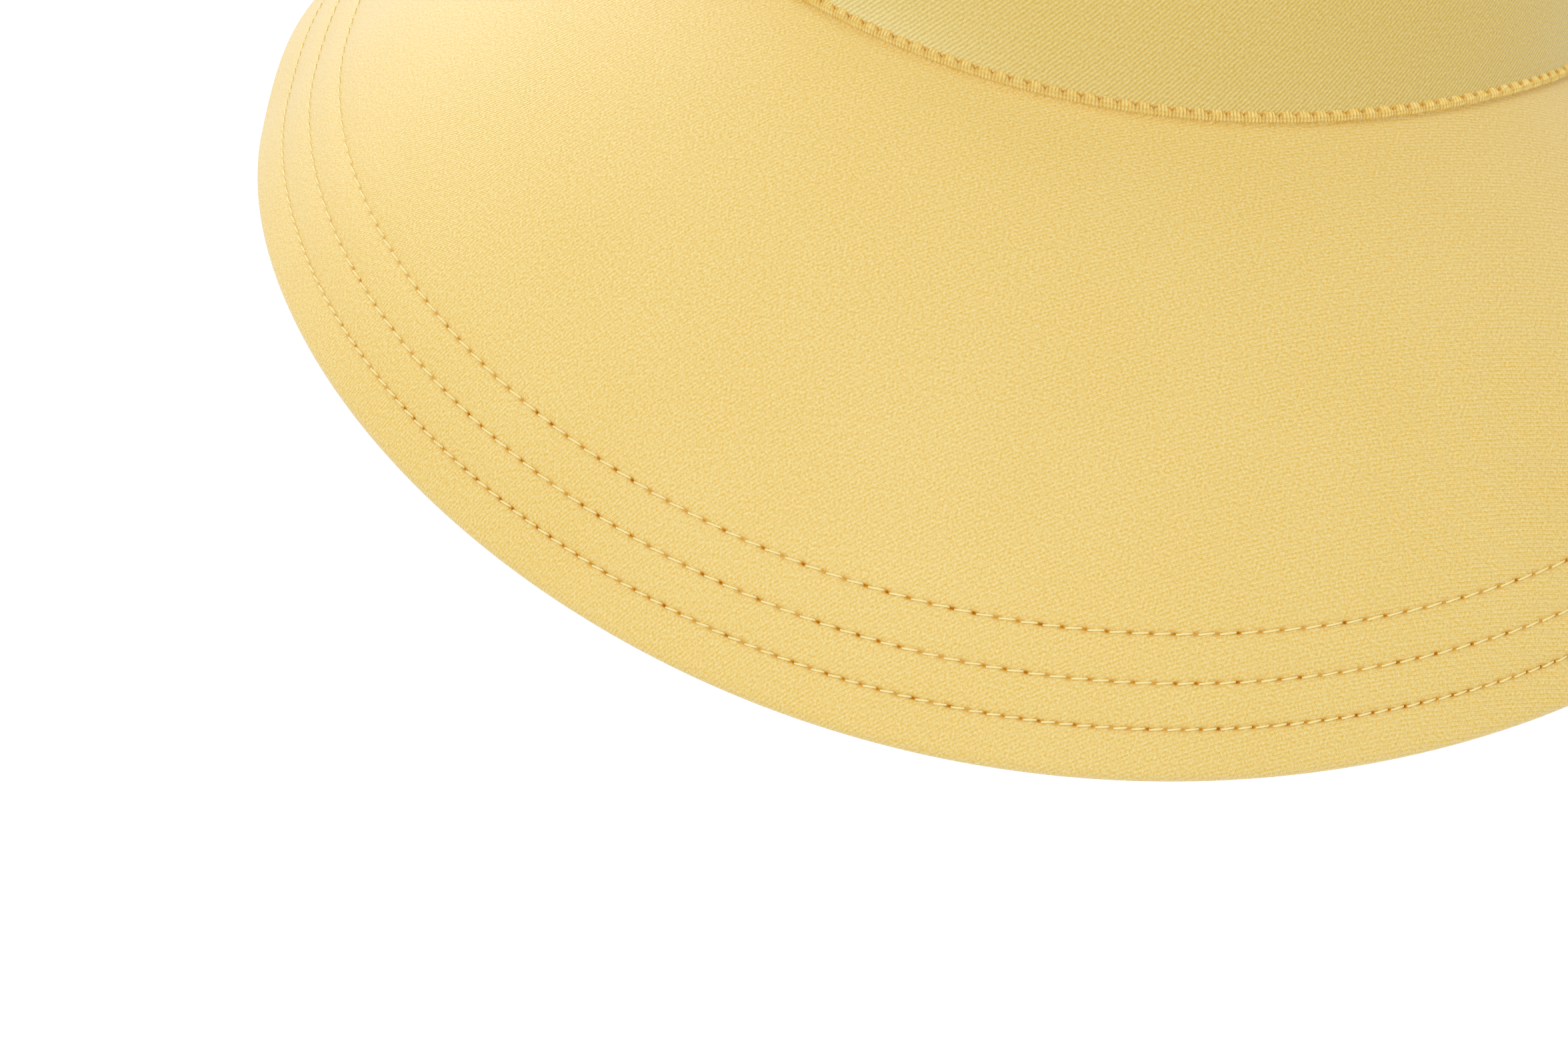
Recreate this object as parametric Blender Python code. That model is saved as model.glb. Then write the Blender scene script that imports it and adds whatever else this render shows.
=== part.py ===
"""Wide-brim sun visor with an open crown, built as sewn layers, with a hook-and-loop closure at the back.

Frame: +Z up, the visor faces -Y, and the origin lies midway between the temples, at the centre of
the head opening's front half, level with the front of the seam that joins the brim to the band.
"""

import math

import bmesh
import bpy
from mathutils import Vector

MM = 0.001

# Driving dimensions, in millimetres and degrees

# Head opening, as the plan of the seam: a half ellipse in front, straight sides, a half circle behind
OPENING_HALF_WIDTH = 81.7
OPENING_FRONT_DEPTH = 82.7
OPENING_SIDE_LENGTH = 30.0
# The seam's rise and fall round the head
SEAM_TILT = -10.25
SEAM_ARCH = 9.1
SEAM_LEVEL_ANGLE = 120.0

# Brim, measured along its curved surface from the seam
BRIM_FRONT_WIDTH = 108.6
BRIM_SIDE_NARROWING = 45.4
BRIM_TAPER_START = 88.0
BRIM_END_ANGLE = 138.0
BRIM_END_WIDTH = 5.0
# How much faster the brim changes round the rear curve than along the straight sides before it
BRIM_ROUND_GAIN = 1.5
# Slope below level where the brim leaves the seam, and the degrees it turns down in each millimetre
BRIM_FRONT_SLOPE = 28.4
BRIM_SLOPE_TILT = 4.9
BRIM_SLOPE_ARCH = -5.7
BRIM_FRONT_DROOP = 0.418
BRIM_DROOP_TILT = 0.150
# Degrees by which the brim is flatter at its sides, from one angle round the head to another
BRIM_SIDE_EASE = 5.8
BRIM_EASE_START = 70.0
BRIM_EASE_END = 94.2
BRIM_FABRIC = 0.8
BRIM_INSERT = 1.2
BRIM_HEM = 2.0

# Rows of lockstitch, measured in from the brim's edge
STITCH_ROWS = {"outer": 7.8, "middle": 14.5, "inner": 21.7}
STITCH_SEAM_MARGIN = 3.0
BRIM_THREAD = 0.45

# Piping between brim and band
PIPING_DIAMETER = 2.2

# Band, measured up its leaning wall from the seam
BAND_FRONT_HEIGHT = 58.0
BAND_BACK_HEIGHT = 34.0
BAND_FRONT_LEAN = 12.0
BAND_FABRIC = 0.9
BAND_INTERLINING = 1.0
INTERLINING_END_ANGLE = 108.0
INTERLINING_MARGIN = 4.0
SWEATBAND_THICKNESS = 1.2
SWEATBAND_HEIGHT = 28.0
SWEATBAND_DROP = 3.0
SWEATBAND_END_ANGLE = 118.0
BINDING_THICKNESS = 0.8
BINDING_DEPTH = 8.0
BAND_THREAD = 0.45
LABEL_LENGTH = 30.0
LABEL_HEIGHT = 14.0
LABEL_THICKNESS = 0.4
LABEL_LIFT = 8.0

# Back closure: angles are measured round the half circle, from the middle of the back
BAND_GAP_ANGLE = 33.0
STRAP_HEIGHT = 22.0
STRAP_THICKNESS = 1.0
STRAP_POCKET_ANGLE = 23.0
STRAP_TIP_ANGLE = 16.0
LOOP_TAPE_START_ANGLE = -8.0
LOOP_TAPE_END_ANGLE = 18.0
LOOP_TAPE_THICKNESS = 0.9
HOOK_TAPE_START_ANGLE = -12.0
HOOK_TAPE_END_ANGLE = 14.0
HOOK_TAPE_THICKNESS = 0.9
TAPE_MARGIN = 2.0
TAIL_TIP_ANGLE = 22.0
TAIL_RAMP_ANGLE = 6.0
TIP_RADIUS = 7.0

# Gap that separate layers keep to each other
LAYER_GAP = 0.3

# How finely curves are divided
BRIM_STEPS = 34
BRIM_END_STEPS = 8
BRIM_CROSS_STEPS = 8
BAND_STEPS = 56
BAND_CROSS_STEPS = 2
CLOSURE_STEP_ANGLE = 3.0
CLOSURE_TIP_STEPS = 4
TAIL_RAMP_STEPS = 4
THREAD_SIDES = 4
PIPING_SIDES = 6

# Colours as linear RGB, with roughness
YELLOW_BRIM = ((0.84, 0.58, 0.20), 0.62)
YELLOW_BAND = ((0.75, 0.53, 0.15), 0.64)
YELLOW_THREAD = ((0.88, 0.62, 0.20), 0.5)
YELLOW_LINING = ((0.86, 0.66, 0.30), 0.75)
WHITE_BOARD = ((0.85, 0.85, 0.82), 0.45)
WHITE_LABEL = ((0.88, 0.87, 0.84), 0.6)
YELLOW_TAPE = ((0.80, 0.60, 0.24), 0.85)

# Places that follow from the sizes above
REAR_CENTRE = OPENING_SIDE_LENGTH
REAR_RADIUS = OPENING_HALF_WIDTH
REAR_QUARTER = OPENING_SIDE_LENGTH + REAR_RADIUS * math.pi / 2
PIPING_RADIUS = PIPING_DIAMETER / 2
SEAM_CLEAR = PIPING_RADIUS + LAYER_GAP

# Heights of the brim's layers from its upper face, which is 0
BRIM_TOP_BACK = -BRIM_FABRIC
INSERT_FACE = BRIM_TOP_BACK - LAYER_GAP
INSERT_BACK = INSERT_FACE - BRIM_INSERT
UNDER_FACE = INSERT_BACK - LAYER_GAP
UNDER_BACK = UNDER_FACE - BRIM_FABRIC

# Offsets of the band's layers from the outside face, which is 0
OUTER_BACK = -BAND_FABRIC
INTERLINING_FACE = OUTER_BACK - LAYER_GAP
INTERLINING_BACK = INTERLINING_FACE - BAND_INTERLINING
LINING_FACE = INTERLINING_BACK - LAYER_GAP
LINING_BACK = LINING_FACE - BAND_FABRIC
SWEATBAND_FACE = LINING_BACK - LAYER_GAP
SWEATBAND_BACK = SWEATBAND_FACE - SWEATBAND_THICKNESS

# Offsets of the closure's layers from the same face
STRAP_MIDDLE = (OUTER_BACK + LINING_FACE) / 2
STRAP_FACE = STRAP_MIDDLE + STRAP_THICKNESS / 2
STRAP_BACK = STRAP_MIDDLE - STRAP_THICKNESS / 2
LOOP_TAPE_BACK = STRAP_FACE + LAYER_GAP
LOOP_TAPE_FACE = LOOP_TAPE_BACK + LOOP_TAPE_THICKNESS
HOOK_TAPE_BACK = LOOP_TAPE_FACE + LAYER_GAP
HOOK_TAPE_FACE = HOOK_TAPE_BACK + HOOK_TAPE_THICKNESS
TAIL_RAISED_BACK = HOOK_TAPE_FACE + LAYER_GAP


def spread(low, high, steps):
    """Evenly spaced values from low to high, both included."""
    return [low + (high - low) * i / steps for i in range(steps + 1)]


def sector_angle(rear_angle):
    """Angle round the head, from the middle of the front, of a place on the rear half circle."""
    along = OPENING_SIDE_LENGTH + REAR_RADIUS * math.radians(90.0 - rear_angle)
    return 90.0 + 90.0 * along / REAR_QUARTER


BAND_END_ANGLE = sector_angle(BAND_GAP_ANGLE)


def seam_height(angle):
    """Height of the seam: it arches over the temples, and runs level round the back."""
    turn = math.radians(min(angle, 90.0))
    height = SEAM_TILT * (1 - math.cos(turn)) + SEAM_ARCH * (1 - math.cos(2 * turn))
    if angle > 90.0:
        past = math.radians(min(angle, SEAM_LEVEL_ANGLE) - 90.0)
        height += SEAM_TILT * (past - past ** 2 / (2 * math.radians(SEAM_LEVEL_ANGLE - 90.0)))
    return height


def seam_point(angle):
    """Point of the seam and its outward direction in plan, at an angle round the head in degrees."""
    turn = math.radians(angle)
    side = 1.0 if angle >= 0 else -1.0
    if abs(angle) <= 90.0:
        x = OPENING_HALF_WIDTH * math.sin(turn)
        y = -OPENING_FRONT_DEPTH * math.cos(turn)
        out = Vector((OPENING_FRONT_DEPTH * math.sin(turn), -OPENING_HALF_WIDTH * math.cos(turn), 0.0))
    else:
        along = (abs(angle) - 90.0) / 90.0 * REAR_QUARTER
        if along <= OPENING_SIDE_LENGTH:
            x, y = side * OPENING_HALF_WIDTH, along
            out = Vector((side, 0.0, 0.0))
        else:
            bend = (along - OPENING_SIDE_LENGTH) / REAR_RADIUS
            out = Vector((side * math.cos(bend), math.sin(bend), 0.0))
            x, y = REAR_RADIUS * out.x, REAR_CENTRE + REAR_RADIUS * out.y
    return Vector((x, y, seam_height(abs(angle)))), out.normalized()


def brim_pace(angle):
    """Angle that shapes the brim, paced behind the temples so that its edge runs on smoothly."""
    side_end = 90.0 + 90.0 * OPENING_SIDE_LENGTH / REAR_QUARTER
    pace = (BRIM_END_ANGLE - 90.0) / (side_end - 90.0 + BRIM_ROUND_GAIN * (BRIM_END_ANGLE - side_end))
    straight = max(0.0, min(abs(angle), side_end) - 90.0)
    curved = max(0.0, abs(angle) - side_end)
    return min(abs(angle), 90.0) + pace * (straight + BRIM_ROUND_GAIN * curved)


def brim_width(angle):
    """Width of the brim from seam to edge, rounded off towards its two ends."""
    shaped = brim_pace(angle)
    full = BRIM_FRONT_WIDTH - BRIM_SIDE_NARROWING * (1 - math.cos(math.radians(shaped)))
    past = (shaped - BRIM_TAPER_START) / (BRIM_END_ANGLE - BRIM_TAPER_START)
    if past <= 0:
        return full
    fall = math.sqrt(max(0.0, 1 - min(1.0, past) ** 2))
    return BRIM_END_WIDTH + (full - BRIM_END_WIDTH) * fall


def brim_angles():
    """Angles round the head at which the brim is drawn, closer together where its ends round off."""
    turns = [math.radians(90.0 * i / BRIM_END_STEPS) for i in range(1, BRIM_END_STEPS + 1)]
    end = [BRIM_TAPER_START + (BRIM_END_ANGLE - BRIM_TAPER_START) * math.sin(turn) for turn in turns]
    return [-a for a in reversed(end)] + spread(-BRIM_TAPER_START, BRIM_TAPER_START, BRIM_STEPS) + end


def brim_point(angle, across, lift):
    """Point on the drooping brim: across is from the seam along the surface, lift is square to it."""
    turn = math.radians(brim_pace(angle))
    tilt = 1 - math.cos(turn)
    arch = 1 - math.cos(2 * turn)
    eased = (abs(angle) - BRIM_EASE_START) / (BRIM_EASE_END - BRIM_EASE_START)
    eased = min(1.0, max(0.0, eased))
    ease = BRIM_SIDE_EASE * eased * eased * (3 - 2 * eased)
    slope = math.radians(BRIM_FRONT_SLOPE + BRIM_SLOPE_TILT * tilt + BRIM_SLOPE_ARCH * arch - ease)
    droop = math.radians(BRIM_FRONT_DROOP + BRIM_DROOP_TILT * tilt)
    seam, out = seam_point(angle)
    end = slope + droop * across
    reach = (math.sin(end) - math.sin(slope)) / droop
    fall = (math.cos(slope) - math.cos(end)) / droop
    return seam + out * (reach + lift * math.sin(end)) + Vector((0, 0, lift * math.cos(end) - fall))


def band_height(angle):
    """Height of the band up its wall, full in front and low behind."""
    share = (1 + math.cos(math.radians(angle))) / 2
    return BAND_BACK_HEIGHT + (BAND_FRONT_HEIGHT - BAND_BACK_HEIGHT) * share


def band_point(angle, up, offset):
    """Point on the band: up is along its wall from the seam, offset is outwards from its outside face."""
    lean = math.radians(BAND_FRONT_LEAN) * max(0.0, math.cos(math.radians(angle)))
    seam, out = seam_point(angle)
    sideways = offset * math.cos(lean) - up * math.sin(lean)
    return seam + out * sideways + Vector((0, 0, up * math.cos(lean) + offset * math.sin(lean)))


def rear_point(rear_angle, height, offset):
    """Point round the rear half circle, which the closure's pieces share."""
    turn = math.radians(rear_angle)
    radius = REAR_RADIUS + offset
    return Vector((radius * math.sin(turn), REAR_CENTRE + radius * math.cos(turn), height))


STRAP_BASE = seam_point(BAND_END_ANGLE)[0].z + SEAM_CLEAR + TAPE_MARGIN / 2
STRAP_TOP = STRAP_BASE + STRAP_HEIGHT


def material(name, look):
    """Principled material of one colour and roughness."""
    colour, roughness = look
    made = bpy.data.materials.get(name) or bpy.data.materials.new(name)
    made.use_nodes = True
    shader = made.node_tree.nodes["Principled BSDF"]
    shader.inputs["Base Color"].default_value = (*colour, 1.0)
    shader.inputs["Roughness"].default_value = roughness
    shader.inputs["Metallic"].default_value = 0.0
    made.diffuse_color = (*colour, 1.0)
    return made


def pivot(name, place):
    """Empty that carries pieces, at a joint's axis or at the origin."""
    empty = bpy.data.objects.new(name, None)
    empty.location = place * MM
    bpy.context.scene.collection.objects.link(empty)
    return empty


def swept(name, sections, look, carrier):
    """Closed solid through a row of matching cross-sections, as an object on its carrier."""
    mesh = bmesh.new()
    origin = carrier.location
    rings = [[mesh.verts.new(point * MM - origin) for point in section] for section in sections]
    count = len(rings[0])
    for ring, following in zip(rings, rings[1:]):
        for i in range(count):
            j = (i + 1) % count
            mesh.faces.new((ring[i], ring[j], following[j], following[i]))
    mesh.faces.new(rings[0])
    mesh.faces.new(rings[-1])
    bmesh.ops.recalc_face_normals(mesh, faces=mesh.faces)
    data = bpy.data.meshes.new(name)
    mesh.to_mesh(data)
    mesh.free()
    data.shade_smooth()
    data.set_sharp_from_angle(angle=math.radians(40))
    data.materials.append(material(*look))
    made = bpy.data.objects.new(name, data)
    made.parent = carrier
    bpy.context.scene.collection.objects.link(made)
    return made


def sheet_section(place, low, high, back, face, steps):
    """Outline of a sheet between two offsets, from low to high along its width."""
    along = spread(low, high, steps)
    return [place(a, face) for a in along] + [place(a, back) for a in reversed(along)]


def brim_sheet(name, start, margin, back, face, look, carrier):
    """Layer of the brim, from start to margin short of the edge."""
    sections = []
    for angle in brim_angles():
        edge = max(brim_width(angle) - margin, start + LAYER_GAP)
        place = lambda across, lift, angle=angle: brim_point(angle, across, lift)
        sections.append(sheet_section(place, start, edge, back, face, BRIM_CROSS_STEPS))
    return swept(name, sections, look, carrier)


def brim_top_panel(carrier):
    """Upper fabric of the brim, turned down over the edge of the layers below it."""
    sections = []
    for angle in brim_angles():
        edge = brim_width(angle)
        across = spread(SEAM_CLEAR, edge, BRIM_CROSS_STEPS)
        inside = spread(SEAM_CLEAR, edge - BRIM_FABRIC, BRIM_CROSS_STEPS)
        outline = [brim_point(angle, a, 0.0) for a in across]
        outline += [brim_point(angle, edge, UNDER_BACK), brim_point(angle, edge - BRIM_FABRIC, UNDER_BACK)]
        outline += [brim_point(angle, a, BRIM_TOP_BACK) for a in reversed(inside)]
        sections.append(outline)
    return swept("brim_top_panel", sections, ("brim_fabric", YELLOW_BRIM), carrier)


def thread(name, centres, diameter, look, carrier):
    """Sewing thread along a row of (point, two cross directions)."""
    sections = []
    for centre, sideways, upwards in centres:
        ring = []
        for i in range(THREAD_SIDES):
            turn = 2 * math.pi * i / THREAD_SIDES
            ring.append(centre + (sideways * math.cos(turn) + upwards * math.sin(turn)) * diameter / 2)
        sections.append(ring)
    return swept(name, sections, look, carrier)


def stitch_end_angle(inset):
    """Angle at which a row of stitching, a fixed distance in from the edge, runs into the seam."""
    low, high = BRIM_TAPER_START, BRIM_END_ANGLE
    for _ in range(40):
        middle = (low + high) / 2
        if brim_width(middle) - inset > SEAM_CLEAR + STITCH_SEAM_MARGIN:
            low = middle
        else:
            high = middle
    return low


def brim_stitch(name, inset, lift, carrier):
    """Row of thread that lies along the brim, a fixed distance in from its edge."""
    end = stitch_end_angle(inset)
    angles = [-end] + [angle for angle in brim_angles() if abs(angle) < end] + [end]
    centres = []
    for angle in angles:
        across = brim_width(angle) - inset
        centre = brim_point(angle, across, lift)
        sideways = (brim_point(angle, across + 1, lift) - centre).normalized()
        upwards = (brim_point(angle, across, lift + 1) - centre).normalized()
        centres.append((centre, sideways, upwards))
    return thread(name, centres, BRIM_THREAD, ("thread", YELLOW_THREAD), carrier)


def brim(carrier):
    """Brim: two fabrics, the board between them, and rows of lockstitch with a thread on each face."""
    brim_top_panel(carrier)
    brim_sheet("brim_insert", SEAM_CLEAR, BRIM_FABRIC + BRIM_HEM, INSERT_BACK, INSERT_FACE,
               ("insert_board", WHITE_BOARD), carrier)
    brim_sheet("brim_under_panel", SEAM_CLEAR, BRIM_FABRIC + LAYER_GAP, UNDER_BACK, UNDER_FACE,
               ("brim_under_fabric", YELLOW_BRIM), carrier)
    clear = LAYER_GAP + BRIM_THREAD / 2
    for row, inset in STITCH_ROWS.items():
        brim_stitch("needle_thread_" + row, inset, clear, carrier)
        brim_stitch("bobbin_thread_" + row, inset, UNDER_BACK - clear, carrier)


def seam_piping(carrier):
    """Rolled cord of fabric in the seam between brim and band."""
    sections = []
    for angle in brim_angles():
        seam, out = seam_point(angle)
        ring = []
        for i in range(PIPING_SIDES):
            turn = 2 * math.pi * i / PIPING_SIDES
            ring.append(seam + (out * math.cos(turn) + Vector((0, 0, math.sin(turn)))) * PIPING_RADIUS)
        sections.append(ring)
    swept("seam_piping", sections, ("piping", YELLOW_BAND), carrier)


def band_sheet(name, end_angle, bottom, top, back, face, look, carrier):
    """Layer of the band between two offsets; top is a function of the angle."""
    sections = []
    for angle in spread(-end_angle, end_angle, BAND_STEPS):
        place = lambda up, offset, angle=angle: band_point(angle, up, offset)
        sections.append(sheet_section(place, bottom, top(angle), back, face, BAND_CROSS_STEPS))
    return swept(name, sections, look, carrier)


def top_binding(carrier):
    """Folded strip over the band's top edge."""
    outside = LAYER_GAP
    inside = LINING_BACK - LAYER_GAP
    sections = []
    for angle in spread(-BAND_END_ANGLE, BAND_END_ANGLE, BAND_STEPS):
        top = band_height(angle)
        foot = top - BINDING_DEPTH
        fold = top + LAYER_GAP
        crown = fold + BINDING_THICKNESS
        outline = [
            (foot, outside), (foot, outside + BINDING_THICKNESS), (crown, outside + BINDING_THICKNESS),
            (crown, inside - BINDING_THICKNESS), (foot, inside - BINDING_THICKNESS), (foot, inside),
            (fold, inside), (fold, outside),
        ]
        sections.append([band_point(angle, up, offset) for up, offset in outline])
    swept("top_binding", sections, ("band_fabric", YELLOW_BAND), carrier)


def band_stitch(name, end_angle, height, offset, carrier):
    """Row of thread round the band; height is a function of the angle."""
    centres = []
    for angle in spread(-end_angle, end_angle, BAND_STEPS):
        up = height(angle)
        centre = band_point(angle, up, offset)
        upwards = (band_point(angle, up + 1, offset) - centre).normalized()
        outwards = (band_point(angle, up, offset + 1) - centre).normalized()
        centres.append((centre, upwards, outwards))
    thread(name, centres, BAND_THREAD, ("thread", YELLOW_THREAD), carrier)


def size_label(carrier):
    """Blank label, sewn flat to the lining beside the back opening."""
    middle = (SWEATBAND_END_ANGLE + BAND_END_ANGLE) / 2
    half = math.degrees(LABEL_LENGTH / 2 / REAR_QUARTER * math.pi / 2)
    face = LINING_BACK - LAYER_GAP
    sections = []
    for angle in spread(middle - half, middle + half, BAND_CROSS_STEPS * 2):
        place = lambda up, offset, angle=angle: band_point(angle, up, offset)
        sections.append(sheet_section(place, LABEL_LIFT, LABEL_LIFT + LABEL_HEIGHT,
                                      face - LABEL_THICKNESS, face, BAND_CROSS_STEPS))
    swept("size_label", sections, ("label", WHITE_LABEL), carrier)


def band(carrier):
    """Band: outside fabric, interlining, lining, sweatband, top binding, their stitching and the label."""
    fabric = ("band_fabric", YELLOW_BAND)
    lining = ("lining_fabric", YELLOW_LINING)
    band_sheet("band_outer_panel", BAND_END_ANGLE, SEAM_CLEAR, band_height, OUTER_BACK, 0.0, fabric, carrier)
    band_sheet("band_interlining", INTERLINING_END_ANGLE, INTERLINING_MARGIN,
               lambda angle: band_height(angle) - INTERLINING_MARGIN,
               INTERLINING_BACK, INTERLINING_FACE, ("insert_board", WHITE_BOARD), carrier)
    band_sheet("band_lining", BAND_END_ANGLE, SEAM_CLEAR, band_height,
               LINING_BACK, LINING_FACE, lining, carrier)
    band_sheet("sweatband", SWEATBAND_END_ANGLE, -SWEATBAND_DROP, lambda angle: SWEATBAND_HEIGHT,
               SWEATBAND_BACK, SWEATBAND_FACE, ("sweatband_fabric", YELLOW_LINING), carrier)
    top_binding(carrier)
    thread_clear = LAYER_GAP + BAND_THREAD / 2
    band_stitch("binding_stitch", BAND_END_ANGLE,
                lambda angle: band_height(angle) - BINDING_DEPTH + TAPE_MARGIN,
                LAYER_GAP + BINDING_THICKNESS + thread_clear, carrier)
    band_stitch("sweatband_stitch", SWEATBAND_END_ANGLE,
                lambda angle: SWEATBAND_HEIGHT - TAPE_MARGIN, SWEATBAND_BACK - thread_clear, carrier)
    size_label(carrier)


def rear_angles(root, tip, rounded_tip):
    """Angles round the rear half circle from a strap's root to its tip, closer at a rounded tip."""
    side = 1.0 if tip > root else -1.0
    corner = side * math.degrees(TIP_RADIUS / REAR_RADIUS) if rounded_tip else 0.0
    steps = max(2, math.ceil(abs(tip - corner - root) / CLOSURE_STEP_ANGLE))
    angles = spread(root, tip - corner, steps)
    if rounded_tip:
        turns = [math.radians(90.0 * i / CLOSURE_TIP_STEPS) for i in range(1, CLOSURE_TIP_STEPS + 1)]
        angles += [tip - corner + corner * math.sin(turn) for turn in turns]
    return angles


def rear_sections(angles, profile):
    """Cross-sections round the rear half circle; profile gives (low, high, back, face) at an angle."""
    sections = []
    for rear_angle in angles:
        low, high, back, face = profile(rear_angle)
        outline = [(low, face), (high, face), (high, back), (low, back)]
        sections.append([rear_point(rear_angle, height, offset) for height, offset in outline])
    return sections


def rounding(rear_angle, tip):
    """How far the edges of a strap draw in, at an angle, to round the corners of its free end."""
    left = math.radians(abs(tip - rear_angle)) * REAR_RADIUS
    past = max(0.0, TIP_RADIUS - left)
    return TIP_RADIUS - math.sqrt(max(0.0, TIP_RADIUS ** 2 - past ** 2))


def tape(name, start, end, back, face, look, carrier):
    """Strip of hook or loop tape, set in from a strap's two long edges."""
    low = STRAP_BASE + TAPE_MARGIN
    high = STRAP_TOP - TAPE_MARGIN
    sections = rear_sections(rear_angles(start, end, False), lambda rear_angle: (low, high, back, face))
    swept(name, sections, look, carrier)


def adjusting_strap(carrier):
    """Strap that runs out of the band's pocket on one side, with loop tape on its outside face."""

    def profile(rear_angle):
        drawn = rounding(rear_angle, -STRAP_TIP_ANGLE)
        return STRAP_BASE + drawn, STRAP_TOP - drawn, STRAP_BACK, STRAP_FACE

    angles = rear_angles(BAND_GAP_ANGLE + STRAP_POCKET_ANGLE, -STRAP_TIP_ANGLE, True)
    swept("adjusting_strap", rear_sections(angles, profile), ("band_fabric", YELLOW_BAND), carrier)
    tape("loop_tape", LOOP_TAPE_START_ANGLE, LOOP_TAPE_END_ANGLE, LOOP_TAPE_BACK, LOOP_TAPE_FACE,
         ("loop_pile", YELLOW_TAPE), carrier)


def closure_tail(carrier):
    """Tail sewn to the band's other end, which steps out over the strap and carries the hook tape."""
    root = -BAND_GAP_ANGLE + math.degrees(LAYER_GAP / REAR_RADIUS)
    ramp_end = root + TAIL_RAMP_ANGLE

    def profile(rear_angle):
        share = min(1.0, (rear_angle - root) / TAIL_RAMP_ANGLE)
        share = share * share * (3 - 2 * share)
        back = OUTER_BACK + (TAIL_RAISED_BACK - OUTER_BACK) * share
        drawn = rounding(rear_angle, TAIL_TIP_ANGLE)
        return STRAP_BASE + drawn, STRAP_TOP - drawn, back, back + BAND_FABRIC

    angles = spread(root, ramp_end, TAIL_RAMP_STEPS) + rear_angles(ramp_end, TAIL_TIP_ANGLE, True)[1:]
    swept("closure_tail", rear_sections(angles, profile), ("band_fabric", YELLOW_BAND), carrier)
    tape("hook_tape", HOOK_TAPE_START_ANGLE, HOOK_TAPE_END_ANGLE, HOOK_TAPE_BACK, HOOK_TAPE_FACE,
         ("hook_pile", YELLOW_TAPE), carrier)


def main():
    """Clears the scene and builds the visor."""
    for obj in list(bpy.data.objects):
        bpy.data.objects.remove(obj)
    frame = pivot("visor_frame", Vector((0, 0, 0)))
    strap_pivot = pivot("strap_pivot", Vector((0, REAR_CENTRE, 0)))
    tail_hinge = pivot("tail_hinge", rear_point(-BAND_GAP_ANGLE, 0.0, 0.0))
    brim(frame)
    seam_piping(frame)
    band(frame)
    adjusting_strap(strap_pivot)
    closure_tail(tail_hinge)


main()
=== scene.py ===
"""Look of the sun visor: knit cloth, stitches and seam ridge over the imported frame, seen as in the photo.

Sizes are in millimetres and degrees, unless a comment says metres.
"""

import math

import bmesh
import bpy
import numpy as np
from mathutils import Matrix, Vector


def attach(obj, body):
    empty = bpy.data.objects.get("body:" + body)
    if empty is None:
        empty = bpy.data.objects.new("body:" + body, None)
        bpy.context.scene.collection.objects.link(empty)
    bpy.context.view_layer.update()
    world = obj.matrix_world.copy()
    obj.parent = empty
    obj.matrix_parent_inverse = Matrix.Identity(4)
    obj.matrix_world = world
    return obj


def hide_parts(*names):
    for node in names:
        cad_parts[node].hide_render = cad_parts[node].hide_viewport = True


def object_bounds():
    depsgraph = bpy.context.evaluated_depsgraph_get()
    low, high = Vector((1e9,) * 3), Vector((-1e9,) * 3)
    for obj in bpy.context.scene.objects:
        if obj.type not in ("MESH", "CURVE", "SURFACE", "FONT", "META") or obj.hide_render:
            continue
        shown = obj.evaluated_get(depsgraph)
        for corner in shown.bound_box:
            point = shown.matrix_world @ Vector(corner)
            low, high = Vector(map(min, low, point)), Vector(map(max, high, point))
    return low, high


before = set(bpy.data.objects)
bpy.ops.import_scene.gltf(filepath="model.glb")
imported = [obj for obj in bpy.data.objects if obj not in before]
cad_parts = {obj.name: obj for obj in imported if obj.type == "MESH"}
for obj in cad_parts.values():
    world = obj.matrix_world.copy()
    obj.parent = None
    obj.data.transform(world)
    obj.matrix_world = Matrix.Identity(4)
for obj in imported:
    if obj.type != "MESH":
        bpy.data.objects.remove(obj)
cad_low, cad_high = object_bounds()

MM = 0.001

# Head opening and seam, as in the CAD
OPENING_HALF_WIDTH = 81.7
OPENING_FRONT_DEPTH = 82.7
OPENING_SIDE_LENGTH = 30.0
SEAM_TILT = -10.25
SEAM_ARCH = 9.1
SEAM_LEVEL_ANGLE = 120.0
# Height at which the layers inside the band clear the seam
SEAM_CLEAR = 1.4

# Brim, measured along its curved surface from the seam, as in the CAD
BRIM_FRONT_WIDTH = 108.6
BRIM_SIDE_NARROWING = 45.4
BRIM_TAPER_START = 88.0
BRIM_END_ANGLE = 138.0
BRIM_END_WIDTH = 5.0
# How much faster the brim changes round the rear curve than along the straight sides before it
BRIM_ROUND_GAIN = 1.5
# Slope below level where the brim leaves the seam, and the degrees it turns down in each millimetre
BRIM_FRONT_SLOPE = 28.4
BRIM_SLOPE_TILT = 4.9
BRIM_SLOPE_ARCH = -5.7
BRIM_FRONT_DROOP = 0.418
BRIM_DROOP_TILT = 0.150
# Degrees by which the brim is flatter at its sides, from one angle round the head to another
BRIM_SIDE_EASE = 5.8
BRIM_EASE_START = 70.0
BRIM_EASE_END = 94.2
BRIM_THICKNESS = 3.4
CLOTH_THICKNESS = 0.8
LAYER_GAP = 0.3
# Where the upper and lower cloth begin, and how the upper one turns up against the seam
BRIM_START = 0.3
UNDER_START = -2.0
FILLET_HEIGHT = 1.1
FILLET_REACH = 0.77
# Degrees by which the upper cloth runs past the ends of the board, and the heights above the underside
# at which its inside face is gathered to close them
CLOSED_END_ANGLE = 0.6
CLOSED_END_LIFT = (0.1, 0.3)

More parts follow.
